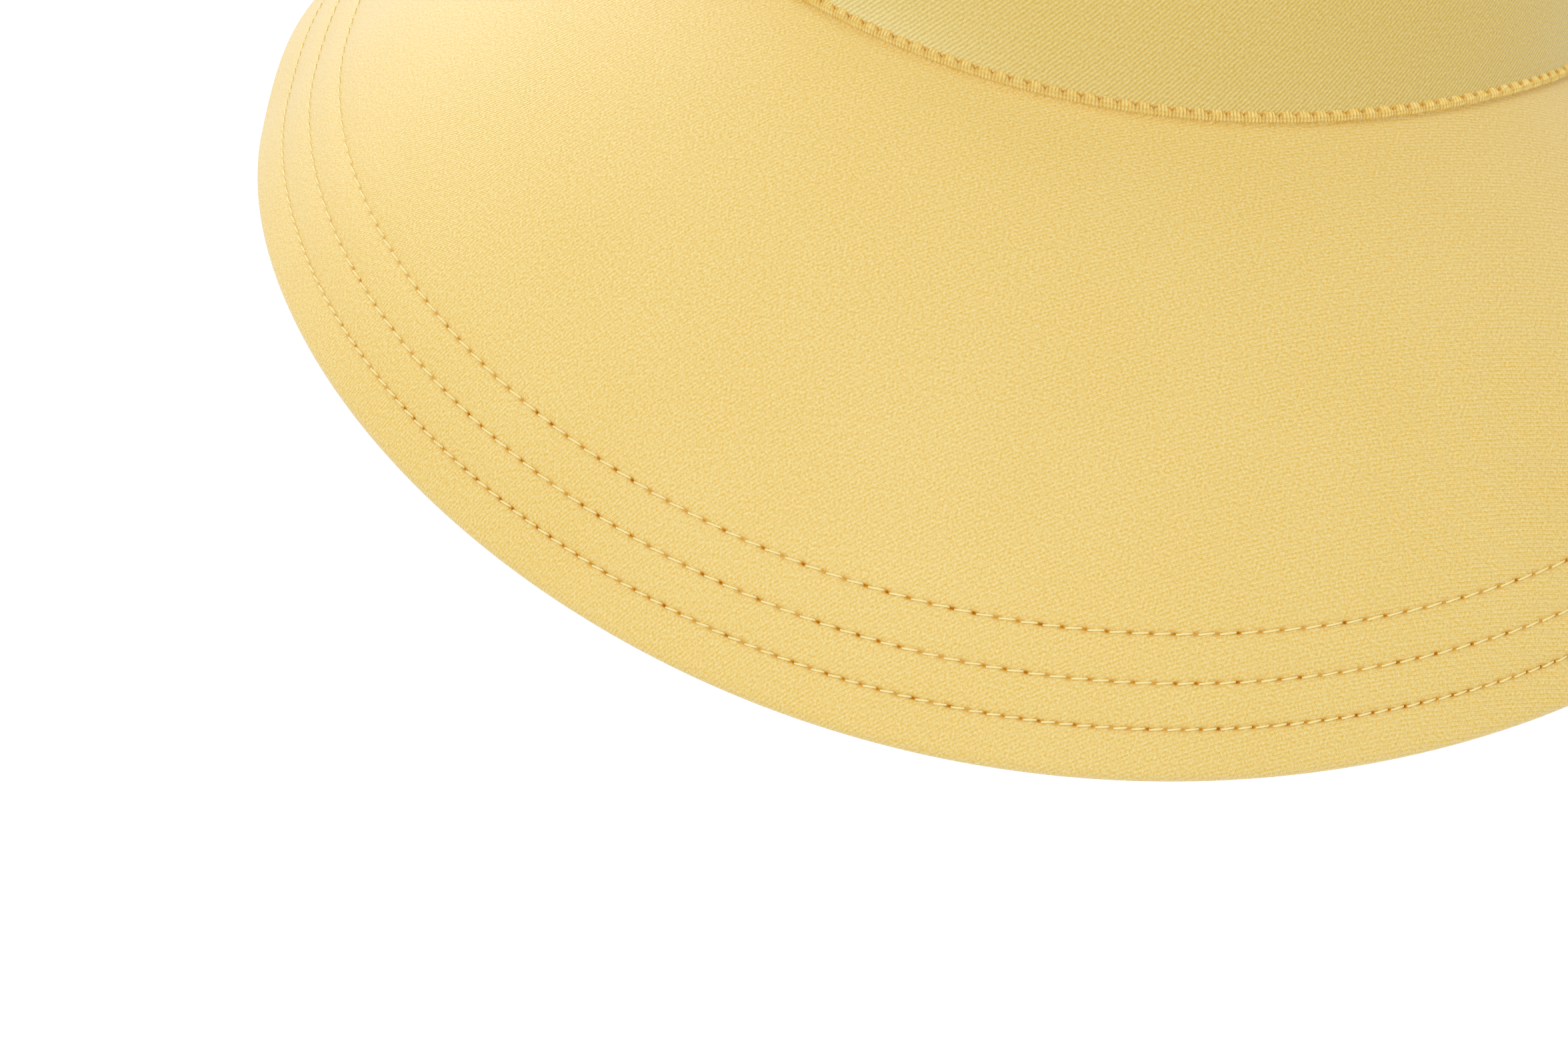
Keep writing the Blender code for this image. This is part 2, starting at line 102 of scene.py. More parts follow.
# Rows of lockstitch: inset from the brim's edge, and stitch length
STITCH_ROWS = {"outer": (7.8, 2.63), "middle": (14.5, 3.11), "inner": (21.7, 3.24)}
STITCH_SEAM_MARGIN = 4.4
# Width of brim over which a row fades in as it leaves that margin
ROW_FADE = 2.0
# Zone from the brim's edge whose mesh follows the rows, and the most of a narrow brim that it may fill
STITCH_ZONE = 26.0
ZONE_SHARE = 0.8
# Distances at which the cloth's mesh has points: from a row, and from the rolled edge
STITCH_GRID = np.array([-0.5, -0.3, -0.15, 0.0, 0.15, 0.3, 0.5, 0.9])
EDGE_GRID = 1.0

# Pull of the stitches: a groove along each row, and holes of varying strength where the needle went in
GROOVE_DEPTH = 0.22
GROOVE_WIDTH = 1.6
HOLE_DEPTH = 0.4
HOLE_LENGTH = 0.46
HOLE_WIDTH = 0.28
HOLE_LEAST = 0.35
# Painted shade of a hole, which leaves out its faintest outskirts, and painted shadow on the puckered cloth
# round it
HOLE_SHADE = 1.5
HOLE_SHADE_FLOOR = 0.2
PUCKER_SHADE = 0.45
PUCKER_LENGTH = 0.7
PUCKER_WIDTH = 0.4
# Towards the sides the holes are shallower and their painted shade is fainter.
SIDE_FADE = 0.78
SIDE_FADE_START = 32.0
SIDE_FADE_LENGTH = 32.0
# On the underside the cloth is drawn in no further than this, and the painted shade of its holes is paler.
UNDER_PULL_LIMIT = 0.5
UNDER_SHADE = 0.6

# Thread: places along a stitch, as shares of its length, and the share over which it comes up at each end
THREAD_RADIUS = 0.15
STITCH_SHARES = np.array([0.0, 0.07, 0.11, 0.15, 0.2, 0.5, 0.8, 0.85, 0.89, 0.93])
DIVE_START = 0.06
DIVE_LENGTH = 0.12
# How far a stitch runs aslant to its row, from one end to the other
STITCH_SLANT = 0.3
# Height of the needle thread over the upper face in a hole, and its rise from there; then the height of
# the bobbin thread over the lower face, and its fall
NEEDLE_DEEP = -0.8
NEEDLE_RISE = 0.71
BOBBIN_DEEP = 0.55
BOBBIN_FALL = 0.42

# Ridge in the seam: scallops between notches, with fine ribs across them; the notches and rib valleys carry
# painted shade
RIDGE_BASE = 0.5
RIDGE_HEIGHT = 1.8
RIDGE_THICKNESS = 1.3
RIDGE_OUT = 0.1
RIDGE_LEAN = 0.3
RIDGE_PITCH = 2.8
RIDGE_RIB_PITCH = 0.56
RIDGE_RIB_TWIST = 1.4
RIDGE_RIB_RISE = 0.05
RIDGE_RIB_SWELL = 0.3
RIDGE_RIB_SHADE = 0.26
NOTCH_SLANT = 0.12
NOTCH_SHARPNESS = 1.4
NOTCH_LEAST = 0.7
NOTCH_DEPTH = 0.45
NOTCH_PINCH = 0.5
NOTCH_SHADE = 0.12
NOTCH_TOP_SHADE = 0.6
# How quickly the ridge's sides turn into its notched top
NOTCH_TOP_GAIN = 1.4
NOTCH_SEED = 5

# Band, measured up its leaning wall from the seam and out from its outside face
BAND_FRONT_HEIGHT = 58.0
BAND_BACK_HEIGHT = 34.0
BAND_FRONT_LEAN = 12.0
BAND_END_REAR_ANGLE = 33.0
BAND_CLOTH = 0.9
# Puckers of the band's cloth, which the seam's stitches make, and the height over which they fade
BAND_PUCKER = 0.09
BAND_PUCKER_SLANT = 0.12
BAND_PUCKER_FADE = 3.0
# Power by which the rows of the band's mesh lie closer together near the seam
BAND_ROW_POWER = 1.6
HEM_THICKNESS = 0.7
HEM_BACK = -2.35
LINING_FACE = -2.5
LINING_BACK = -3.4
SWEATBAND_FACE = -3.7
SWEATBAND_BACK = -4.9
SWEATBAND_HEIGHT = 28.0
SWEATBAND_DROP = 3.0
SWEATBAND_END_ANGLE = 118.0
BINDING_DEPTH = 8.0
BINDING_OUT = 1.1
BINDING_IN = -4.5
BINDING_CLOTH = 0.8
BINDING_CROWN = 1.1
BINDING_FOLD = 2.0
LABEL_LENGTH = 30.0
LABEL_HEIGHT = 14.0
LABEL_LIFT = 8.0
LABEL_FACE = -3.7
LABEL_BACK = -4.1
# Rows of stitches round the band: margins to its edges and ends, depth of a dive, and the rise from it
BAND_STITCH_LENGTH = 3.0
BAND_ROW_MARGIN = 2.0
BAND_ROW_END_MARGIN = 0.5
BAND_STITCH_DEEP = -0.35
BAND_STITCH_RISE = 0.45
BAND_STITCH_STEEPNESS = 2.2

# Back closure, in angles from the middle of the back; tapes as start, end, back and face
STRAP_HEIGHT = 22.0
STRAP_FACE = -1.2
STRAP_BACK = -2.2
STRAP_ROOT_ANGLE = 56.0
STRAP_TIP_ANGLE = -16.0
LOOP_TAPE = (-8.0, 18.0, -0.9, 0.0)
HOOK_TAPE = (-12.0, 14.0, 0.3, 1.2)
TAIL_ROOT_ANGLE = -32.8
TAIL_RAMP_ANGLE = 6.0
TAIL_TIP_ANGLE = 22.0
TAIL_RAISED_BACK = 1.5
TIP_RADIUS = 7.0
TAPE_MARGIN = 2.0
# Places across a strip, as shares of its height, and how much of its thickness is rounded off there
STRIP_SHARES = np.array([0.0, 0.02, 0.5, 0.98, 1.0])
STRIP_ROUNDING = np.array([0.35, 0.0, 0.0, 0.0, 0.35])
# Pile of the tapes: a backing, and small bent stems that lean all ways
TAPE_BACKING = 0.5
PILE_PITCH = 1.3
PILE_FOOT_MARGIN = 1.0
PILE_TOP_MARGIN = 0.5
PILE_SEED = 3
# Whole numbers that each row of stems takes up for its chances
PILE_ROW_NUMBERS = 31
STEM_HEIGHT = 0.4
STEM_BOW = 0.32
STEM_BEND = 150.0
STEM_RADIUS = 0.12

# How finely the shapes are divided
ROW_SAMPLES = 4000
ROW_END_SAMPLES = 2000
SEAM_SAMPLES = 3000
BRIM_TOP_COLUMNS = 1350
BRIM_UNDER_COLUMNS = 760
BRIM_EDGE_POINTS = 3
BETWEEN_ROWS_POINTS = 4
BRIM_PLAIN_POINTS = 15
ROLL_POINTS = 9
FILLET_POINTS = 5
BRIM_BACK_POINTS = 5
BRIM_BACK_STRIDE = 6
RIDGE_COLUMNS = 3200
RIDGE_SIDES = 16
THREAD_SIDES = 6
BAND_COLUMNS = 420
BAND_ROWS = 14
OUTSIDE_COLUMNS = 1100
OUTSIDE_ROWS = 30
BAND_BACK_STRIDE = 3
BAND_THREAD_COLUMNS = 2160
FOLD_POINTS = 13
LABEL_COLUMNS = 40
LABEL_ROWS = 9
STRAP_COLUMNS = 90
STRAP_TIP_POINTS = 13
TAIL_RAMP_COLUMNS = 16
STEM_RINGS = 5
STEM_SIDES = 3
TAPE_COLUMNS = 40
# Edges that turn by more than this stay sharp.
SHARP_ANGLE = 55.0

# Places that follow from the sizes above
REAR_RADIUS = OPENING_HALF_WIDTH
REAR_QUARTER = OPENING_SIDE_LENGTH + REAR_RADIUS * math.pi / 2
BAND_END_ANGLE = 90.0 + 90.0 * (
    OPENING_SIDE_LENGTH + REAR_RADIUS * math.radians(90.0 - BAND_END_REAR_ANGLE)
) / REAR_QUARTER

# Colours, as linear RGB
BRIM_YELLOW = (0.825, 0.595, 0.169)
BAND_YELLOW = (0.72, 0.53, 0.142)
# Pale colour of the painted highlight on the band near the seam
HIGHLIGHT_YELLOW = (0.98, 0.80, 0.37)
RIDGE_YELLOW = (0.97, 0.76, 0.27)
THREAD_YELLOW = (1.0, 0.81, 0.36)
THREAD_SHEEN = (1.0, 0.86, 0.5)
LINING_YELLOW = (0.86, 0.68, 0.32)
PILE_YELLOW = (0.80, 0.60, 0.24)
HOOK_YELLOW = (0.78, 0.60, 0.27)
# Painted shadow round needle holes and notches, and the deeper painted shade in them
SHADOW_GOLD = (0.64, 0.29, 0.018)
HOLE_SHADE_BROWN = (0.36, 0.085, 0.001)
NOTCH_SHADE_BROWN = (0.50, 0.22, 0.02)
BOARD_WHITE = (0.82, 0.82, 0.79)
LABEL_WHITE = (0.86, 0.85, 0.82)
FLOOR_WHITE = (0.86, 0.86, 0.86)
WHITE = (1.0, 1.0, 1.0)
# How much red, green and blue of a yellow cloth change between its light and shaded loops
SHADE_TINT = (0.3, 0.75, 2.8)

# Look of the knit: how far its rows wander, and how strongly weave, grain and patches shade it
WANDER_SIZE = 2.2
WANDER = 0.5
LOOP_WEIGHTS = (0.55, 0.45)
WEAVE_SHADE = 0.34
GRAIN_SIZE = 0.42
GRAIN_SHADE = 1.8
PATCH_SIZE = 25.0
PATCH_SHADE = 0.12
MIDDLE_SHADE = 0.5
SPECKLE_DETAIL = 2.0
# Where along the seam, from the middle of the front, the band's cloth begins to be stretched and to carry a
# painted highlight, the length until both are full, and how much of them there is elsewhere
STRETCH_AND_HIGHLIGHT_START = -8.0
STRETCH_AND_HIGHLIGHT_LENGTH = 25.0
STRETCH_AND_HIGHLIGHT_LEAST = 0.2
# Strength of the weave at rest and what stretching adds, and tones of the painted highlight and its share
REST_WEAVE = 0.9
STRETCH_WEAVE = 1.2
HIGHLIGHT_TONES = (0.8, 1.12)
HIGHLIGHT_SHARE = 0.9
# Look of the thread: plies in a millimetre along it and round it, and how they and longer spots shade it
THREAD_PLIES = (1.6, 2.0)
PLY_SHADE = 0.35
THREAD_SPOT = 4.0
THREAD_TONES = (0.94, 1.1)

# Floor, in metres, and the light that it and the sky give off; both are brighter where they are seen
FLOOR_HALF = 8.0
FLOOR_DROP = 0.6
FLOOR_SEEN_GLOW = 0.4
SKY_LEVEL = 0.72
SKY_SEEN_EXTRA = 0.28
# Lamps: the direction they stand in, strength and spread
LAMPS = {"key": ((-0.25, -0.72, 0.6), 0.88, 60.0), "side": ((-0.62, 0.62, 0.48), 0.92, 30.0)}

# Camera, from matching the photo's edge, stitch rows and seam; pixels are of the full photo
PHOTO_WIDTH = 2352
PHOTO_HEIGHT = 1568
FOCAL_PIXELS = 6829.6
CAMERA_AZIMUTH = 4.537
CAMERA_ELEVATION = 19.488
CAMERA_ROLL = 10.931
CAMERA_DISTANCE = 690.46
SEAM_FRONT_PIXEL = (1606.7, 156.9)
SENSOR_WIDTH = 36.0


# Shapes that the visible pieces share with the CAD

def join(x, y, z):
    """Array of points from three arrays of coordinates."""
    return np.stack(np.broadcast_arrays(x, y, z), axis=-1).astype(float)


def smooth(value):
    """Eases from 0 to 1 as value goes from 0 to 1."""
    value = np.clip(value, 0.0, 1.0)
    return value * value * (3 - 2 * value)


def chance(number, seed):
    """Repeatable value from 0 to 1 for each whole number; the constants only scatter it."""
    return np.modf(np.abs(np.sin(number * 12.9898 + seed * 78.233) * 43758.5453))[0]


def seam(angle):
    """Points of the seam and its outward directions in plan, for angles round the head from the front."""
    angle = np.asarray(angle, float)
    turn = np.radians(np.clip(np.abs(angle), 0, 90))
    side = np.sign(angle)
    rearward = np.clip(np.abs(angle) - 90, 0, None) / 90 * REAR_QUARTER
    straight = np.minimum(rearward, OPENING_SIDE_LENGTH)
    bend = np.maximum(rearward - OPENING_SIDE_LENGTH, 0) / REAR_RADIUS
    front = np.abs(angle) <= 90
    x = np.where(front, OPENING_HALF_WIDTH * np.sin(turn), REAR_RADIUS * np.cos(bend)) * side
    y = np.where(front, -OPENING_FRONT_DEPTH * np.cos(turn), straight + REAR_RADIUS * np.sin(bend))
    out_x = np.where(front, OPENING_FRONT_DEPTH * np.sin(turn), np.cos(bend)) * side
    out_y = np.where(front, -OPENING_HALF_WIDTH * np.cos(turn), np.sin(bend))
    past = np.radians(np.clip(np.abs(angle), 90, SEAM_LEVEL_ANGLE) - 90)
    z = SEAM_TILT * (1 - np.cos(turn)) + SEAM_ARCH * (1 - np.cos(2 * turn))
    z = z + SEAM_TILT * (past - past ** 2 / (2 * math.radians(SEAM_LEVEL_ANGLE - 90)))
    length = np.hypot(out_x, out_y)
    return join(x, y, z), join(out_x / length, out_y / length, 0 * x)


def brim_pace(angle):
    """Angle that shapes the brim, paced behind the temples so that its edge runs on smoothly."""
    side_end = 90 + 90 * OPENING_SIDE_LENGTH / REAR_QUARTER
    pace = (BRIM_END_ANGLE - 90) / (side_end - 90 + BRIM_ROUND_GAIN * (BRIM_END_ANGLE - side_end))
    straight = np.clip(np.minimum(np.abs(angle), side_end) - 90, 0, None)
    curved = np.clip(np.abs(angle) - side_end, 0, None)
    return np.minimum(np.abs(angle), 90) + pace * (straight + BRIM_ROUND_GAIN * curved)


def brim_width(angle):
    """Width of the brim along its surface, rounded off towards its ends."""
    shaped = brim_pace(angle)
    full = BRIM_FRONT_WIDTH - BRIM_SIDE_NARROWING * (1 - np.cos(np.radians(shaped)))
    past = np.clip((shaped - BRIM_TAPER_START) / (BRIM_END_ANGLE - BRIM_TAPER_START), 0, 1)
    return BRIM_END_WIDTH + (full - BRIM_END_WIDTH) * np.sqrt(1 - past ** 2)


def brim_point(angle, across, lift):
    """Points on the drooping brim, across from the seam along it and lifted square to it."""
    turn = np.radians(brim_pace(angle))
    tilt = 1 - np.cos(turn)
    arch = 1 - np.cos(2 * turn)
    ease = BRIM_SIDE_EASE * smooth((np.abs(angle) - BRIM_EASE_START) / (BRIM_EASE_END - BRIM_EASE_START))
    slope = np.radians(BRIM_FRONT_SLOPE + BRIM_SLOPE_TILT * tilt + BRIM_SLOPE_ARCH * arch - ease)
    droop = np.radians(BRIM_FRONT_DROOP + BRIM_DROOP_TILT * tilt)
    place, out = seam(angle)
    end = slope + droop * across
    reach = (np.sin(end) - np.sin(slope)) / droop + lift * np.sin(end)
    rise = lift * np.cos(end) - (np.cos(slope) - np.cos(end)) / droop
    return place + out * reach[..., None] + join(0 * rise, 0 * rise, rise)


def band_height(angle):
    """Height of the band up its wall."""
    share = (1 + np.cos(np.radians(angle))) / 2
    return BAND_BACK_HEIGHT + (BAND_FRONT_HEIGHT - BAND_BACK_HEIGHT) * share


def band_point(angle, up, offset):
    """Points on the band, up its leaning wall from the seam and out from its outside face."""
    lean = math.radians(BAND_FRONT_LEAN) * np.clip(np.cos(np.radians(angle)), 0, None)
    place, out = seam(angle)
    sideways = offset * np.cos(lean) - up * np.sin(lean)
    rise = up * np.cos(lean) + offset * np.sin(lean)
    return place + out * sideways[..., None] + join(0 * rise, 0 * rise, rise)


def rear_point(angle, height, offset):
    """Points round the rear half circle, for angles from the middle of the back."""
    turn = np.radians(angle)
    radius = REAR_RADIUS + offset
    return join(radius * np.sin(turn), OPENING_SIDE_LENGTH + radius * np.cos(turn), height)


def along(points):
    """Length along a row of points, from its first."""
    steps = np.linalg.norm(np.diff(points, axis=0), axis=1)
    return np.concatenate([[0.0], np.cumsum(steps)])


# Meshes

def solid(name, rings, cloth, look, marks=None):
    """Object with a closed mesh through rings of points (ring, place in ring, xyz) and capped ends.

    cloth holds flat cloth coordinates in millimetres for each point, and marks how strongly painted shade
    darkens it.
    """
    count, size = rings.shape[:2]
    index = np.arange(count * size).reshape(count, size)
    here, there = index[:-1], index[1:]
    quads = np.stack([here, np.roll(here, -1, 1), np.roll(there, -1, 1), there], axis=-1).reshape(-1, 4)
    faces = quads.tolist() + [index[0][::-1].tolist(), index[-1].tolist()]
    return surface(name, rings.reshape(-1, 3), faces, cloth.reshape(-1, 2), look, marks)


def surface(name, points, faces, cloth, look, marks=None):
    """Object with these points and faces, cloth coordinates and material, its faces turned outward."""
    mesh = bpy.data.meshes.new(name)
    mesh.from_pydata((points * MM).tolist(), [], faces)
    corners = np.empty(len(mesh.loops), dtype=np.int32)
    mesh.loops.foreach_get("vertex_index", corners)
    mesh.uv_layers.new(name="cloth").data.foreach_set("uv", cloth[corners].ravel())
    if marks is not None:
        mesh.attributes.new("painted_shade", "FLOAT", "POINT").data.foreach_set("value", marks.ravel())
    shell = bmesh.new()
    shell.from_mesh(mesh)
    bmesh.ops.recalc_face_normals(shell, faces=shell.faces)
    shell.to_mesh(mesh)
    shell.free()
    mesh.shade_smooth()
    mesh.set_sharp_from_angle(angle=math.radians(SHARP_ANGLE))
    mesh.materials.append(look)
    made = bpy.data.objects.new(name, mesh)
    bpy.context.scene.collection.objects.link(made)
    return made


def ring_angles(sides):
    """Angles in radians, evenly spaced round a ring."""
    return np.radians(np.arange(sides) * 360 / sides)


def tube(name, centres, sideways, upwards, look):
    """Thread along a row of points, with its cross directions at each."""
    turn = ring_angles(THREAD_SIDES)[None, :, None]
    ring = sideways[:, None] * np.cos(turn) + upwards[:, None] * np.sin(turn)
    length = np.repeat(along(centres)[:, None], THREAD_SIDES, 1)
    girth = np.broadcast_to(turn[..., 0] * THREAD_RADIUS, length.shape)
    return solid(name, centres[:, None] + THREAD_RADIUS * ring, np.stack([length, girth], axis=-1), look)


def on_cloth(steps, up):
    """Flat cloth coordinates of points that lie in columns at these lengths along the cloth."""
    return np.stack([np.broadcast_to(steps, up.shape), up], axis=-1)


def show(piece, body, slot, *nodes):
    """Piece moves with a CAD body and stands for its nodes."""
    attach(piece, body)
    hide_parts(*nodes)
    return piece


# Materials

def socket(tree, target, value):
    """Links a socket to another node's output, or sets its value."""
    if isinstance(value, bpy.types.NodeSocket):
        tree.links.new(value, target)
    else:
        target.default_value = value


def set_inputs(tree, target, values):
    """Links or sets a node's inputs, by name or number."""
    for key, value in values.items():
        socket(tree, target.inputs[key], value)


def node(tree, kind, values, **settings):
    """New node with settings, and with its inputs linked or set."""
    made = tree.nodes.new(kind)
    for name, value in settings.items():
        setattr(made, name, value)
    set_inputs(tree, made, values)
    return made


def calc(tree, operation, first, second=0.0):
    """Output of a Math node."""
    return node(tree, "ShaderNodeMath", {0: first, 1: second}, operation=operation).outputs[0]


def plus(tree, first, second):
    """Sum of two values."""
    return calc(tree, "ADD", first, second)


def times(tree, first, second):
    """Product of two values."""
    return calc(tree, "MULTIPLY", first, second)


def sine_wave(tree, count):
    """Wave from -1 to 1 that repeats once for each whole count."""
    return calc(tree, "SINE", times(tree, count, 2 * math.pi))


def blend_colour(tree, share, first, second):
    """Colour between two."""
    made = node(tree, "ShaderNodeMix", {0: share}, data_type="RGBA", blend_type="MIX")
    set_inputs(tree, made, {6: first, 7: second})
    return made.outputs[2]


def rgba(colour):
    """Opaque colour for a socket."""
    return tuple(colour) + (1.0,)


def tone(colour, factor):
    """Colour made lighter or darker, as RGBA."""
    return rgba(min(1.0, c * factor) for c in colour)


def speckle(tree, place, size):
    """Noise from 0 to 1 with spots of about this size, in the units of place."""
    values = {"Vector": place, "Scale": 1.0 / size, "Detail": SPECKLE_DETAIL}
    return node(tree, "ShaderNodeTexNoise", values).outputs[0]


def mottle(tree, place, size, strength):
    """Noise about zero, of this strength, with spots of about this size."""
    return times(tree, calc(tree, "SUBTRACT", speckle(tree, place, size), 0.5), strength)


def bumps(tree, height, strength, distance):
    """Normal of a surface with fine relief, whose distance is in millimetres."""
    values = {"Height": height, "Strength": strength, "Distance": distance * MM}
    return node(tree, "ShaderNodeBump", values).outputs[0]


def new_material(name):
    """Empty node material with a Principled shader."""
    made = bpy.data.materials.new(name)
    made.use_nodes = True
    return made, made.node_tree, made.node_tree.nodes["Principled BSDF"]


def cloth_place(tree):
    """Place on the flat cloth, in millimetres."""
    return node(tree, "ShaderNodeUVMap", {}, uv_map="cloth").outputs[0]


def repeats(tree, cloth, direction, pitch):
    """Count of repeats of a pattern along a direction on the cloth."""
    values = {0: cloth, 1: (direction[0] / pitch, direction[1] / pitch, 0.0)}
    return node(tree, "ShaderNodeVectorMath", values, operation="DOT_PRODUCT").outputs["Value"]


def stretch_and_highlight_share(tree, cloth, reach):
    """How far the cloth is stretched and painted with a highlight, which halves with each reach, in
    millimetres, up from the seam.
    """
    place = node(tree, "ShaderNodeSeparateXYZ", {0: cloth}).outputs
    near = calc(tree, "POWER", 0.5, calc(tree, "DIVIDE", place[1], reach))
    aside = calc(tree, "DIVIDE", calc(tree, "SUBTRACT", STRETCH_AND_HIGHLIGHT_START, place[0]), STRETCH_AND_HIGHLIGHT_LENGTH)
    aside = calc(tree, "MINIMUM", calc(tree, "MAXIMUM", aside, 0.0), 1.0)
    return times(tree, near, plus(tree, times(tree, aside, 1 - STRETCH_AND_HIGHLIGHT_LEAST), STRETCH_AND_HIGHLIGHT_LEAST))


def cloth_material(name, colour, pitch, slant, contrast, sheen, twill=0.6, roughness=0.5, gloss=0.5,
                   painted_shade=None, relief=0.06, bold=0.0):
    """Knit of small loops in crossing slanted rows, with soft mottling and, where marked, painted shade in
    pits and notches.

    twill is how much the slanted rows stand out from the small loops between them. The weave shows more
    within about bold millimetres of the seam, where the cloth is stretched, and a pale highlight is painted
    there, strongest on the left side.
    """
    made, tree, shader = new_material(name)
    cloth = cloth_place(tree)
    wander = times(tree, speckle(tree, cloth, WANDER_SIZE), WANDER)
    turn = math.radians(slant)
    rows = plus(tree, repeats(tree, cloth, (-math.sin(turn), math.cos(turn)), pitch), wander)
    crossing = plus(tree, repeats(tree, cloth, (math.sin(turn), math.cos(turn)), pitch), wander)
    row_loops, crossing_loops = (weight * (1 - twill) for weight in LOOP_WEIGHTS)
    twice = [(times(tree, rows, 2.0), row_loops), (times(tree, crossing, 2.0), crossing_loops)]
    weave = 0.0
    for count, weight in [(rows, twill)] + twice:
        weave = plus(tree, times(tree, sine_wave(tree, count), weight), weave)
    if bold:
        near = stretch_and_highlight_share(tree, cloth, bold)
        weave = times(tree, weave, plus(tree, times(tree, near, STRETCH_WEAVE), REST_WEAVE))
    shade = plus(tree, times(tree, weave, WEAVE_SHADE), mottle(tree, cloth, GRAIN_SIZE, GRAIN_SHADE))
    shade = plus(tree, plus(tree, shade, mottle(tree, cloth, PATCH_SIZE, PATCH_SHADE)), MIDDLE_SHADE)
    dark = rgba(c * (1 - contrast * k) for c, k in zip(colour, SHADE_TINT))
    pale = rgba(min(1.0, c * (1 + contrast * k)) for c, k in zip(colour, SHADE_TINT))
    look = blend_colour(tree, shade, dark, pale)
    # Painted highlight: near the seam the band turns pale, strongest on its left side.
    if bold:
        highlight = blend_colour(tree, shade, *(tone(HIGHLIGHT_YELLOW, t) for t in HIGHLIGHT_TONES))
        look = blend_colour(tree, times(tree, near, HIGHLIGHT_SHARE), look, highlight)
    shine = gloss
    if painted_shade:
        # Half of a mark's range paints a golden shadow on the cloth, and the rest paints deeper shade in
        # the given colour.
        marks = node(tree, "ShaderNodeAttribute", {}, attribute_name="painted_shade").outputs["Fac"]
        doubled = times(tree, marks, 2.0)
        halo = calc(tree, "MINIMUM", doubled, 1.0)
        core = calc(tree, "MAXIMUM", calc(tree, "SUBTRACT", doubled, 1.0), 0.0)
        look = blend_colour(tree, halo, look, rgba(SHADOW_GOLD))
        look = blend_colour(tree, core, look, rgba(painted_shade))
        open_cloth = calc(tree, "SUBTRACT", 1.0, halo)
        sheen = times(tree, open_cloth, sheen)
        shine = times(tree, open_cloth, shine)
    set_inputs(tree, shader, {
        "Base Color": look, "Roughness": roughness, "Sheen Weight": sheen, "Sheen Roughness": 0.4,
        "Specular IOR Level": shine, "Normal": bumps(tree, weave, strength=0.5, distance=relief)})
    return made


def thread_material(name, colour):
    """Twisted thread: fine slanted plies with a soft shine."""
    made, tree, shader = new_material(name)
    cloth = cloth_place(tree)
    wave = sine_wave(tree, repeats(tree, cloth, THREAD_PLIES, 1.0))
    shade = plus(tree, times(tree, wave, PLY_SHADE), speckle(tree, cloth, THREAD_SPOT))
    look = blend_colour(tree, shade, *(tone(colour, t) for t in THREAD_TONES))
    set_inputs(tree, shader, {
        "Base Color": look, "Roughness": 0.5, "Sheen Weight": 0.7, "Sheen Tint": rgba(THREAD_SHEEN),
        "Normal": bumps(tree, wave, strength=0.4, distance=0.05)})
    return made


def plain_material(name, colour, spot, contrast, roughness):
    """Even stuff with fine specks, such as board or pile."""
    made, tree, shader = new_material(name)
    place = node(tree, "ShaderNodeTexCoord", {}).outputs["Object"]
    specks = speckle(tree, place, spot * MM)
    look = blend_colour(tree, specks, tone(colour, 1 - contrast), tone(colour, 1 + contrast))
    set_inputs(tree, shader, {
        "Base Color": look, "Roughness": roughness,
        "Normal": bumps(tree, specks, strength=0.3, distance=0.05)})
    return made


brim_cloth = cloth_material(
    "brim_cloth", BRIM_YELLOW, pitch=0.636, slant=32, contrast=0.33, sheen=0.55,
    twill=0.35, gloss=0.75, painted_shade=HOLE_SHADE_BROWN)
under_cloth = cloth_material(
    "under_cloth", BRIM_YELLOW, pitch=0.636, slant=-32, contrast=0.22, sheen=0.20,
    twill=0.25, painted_shade=HOLE_SHADE_BROWN)
band_cloth = cloth_material(
    "band_cloth", BAND_YELLOW, pitch=0.63, slant=48, contrast=0.28, sheen=0.40,
    twill=0.75, relief=0.1, bold=4.0)
ridge_cloth = cloth_material(
    "ridge_cloth", RIDGE_YELLOW, pitch=0.5, slant=75, contrast=0.2, sheen=0.0,
    gloss=0.3, painted_shade=NOTCH_SHADE_BROWN, relief=0.1)
lining_cloth = cloth_material(
    "lining_cloth", LINING_YELLOW, pitch=0.7, slant=90, contrast=0.12, sheen=0.15,
    roughness=0.75)
sweat_cloth = cloth_material(
    "sweat_cloth", LINING_YELLOW, pitch=1.1, slant=0, contrast=0.14, sheen=0.40,
    roughness=0.85)
label_cloth = cloth_material("label_cloth", LABEL_WHITE, pitch=0.4, slant=45, contrast=0.05, sheen=0.05)
sewing_thread = thread_material("sewing_thread", THREAD_YELLOW)
pile = plain_material("pile", PILE_YELLOW, spot=0.6, contrast=0.12, roughness=0.9)
hooks = plain_material("hooks", HOOK_YELLOW, spot=0.8, contrast=0.08, roughness=0.5)
board = plain_material("board", BOARD_WHITE, spot=2.0, contrast=0.04, roughness=0.45)


# Brim

def row_line(inset):
    """Angles along a row of stitching and the length along it, counted from the middle of the front."""
    angles = np.linspace(-BRIM_END_ANGLE, BRIM_END_ANGLE, ROW_SAMPLES)
    across = np.maximum(brim_width(angles) - inset, 0.0)
    length = along(brim_point(angles, across, 0 * across))
    return angles, length - np.interp(0.0, angles, length)


ROW_LINES = {row: row_line(inset) for row, (inset, stitch) in STITCH_ROWS.items()}


def row_end(inset):
    """Angle where a row of stitching runs into the seam."""
    angles = np.linspace(BRIM_TAPER_START, BRIM_END_ANGLE, ROW_END_SAMPLES)
    return angles[brim_width(angles) - inset > STITCH_SEAM_MARGIN][-1]


def soft_spot(ahead, aside, length, width):
    """Soft spot, 1 in its middle, of a length along the row and a width across it."""
    return np.exp(-(ahead / length) ** 2 - (aside / width) ** 2)


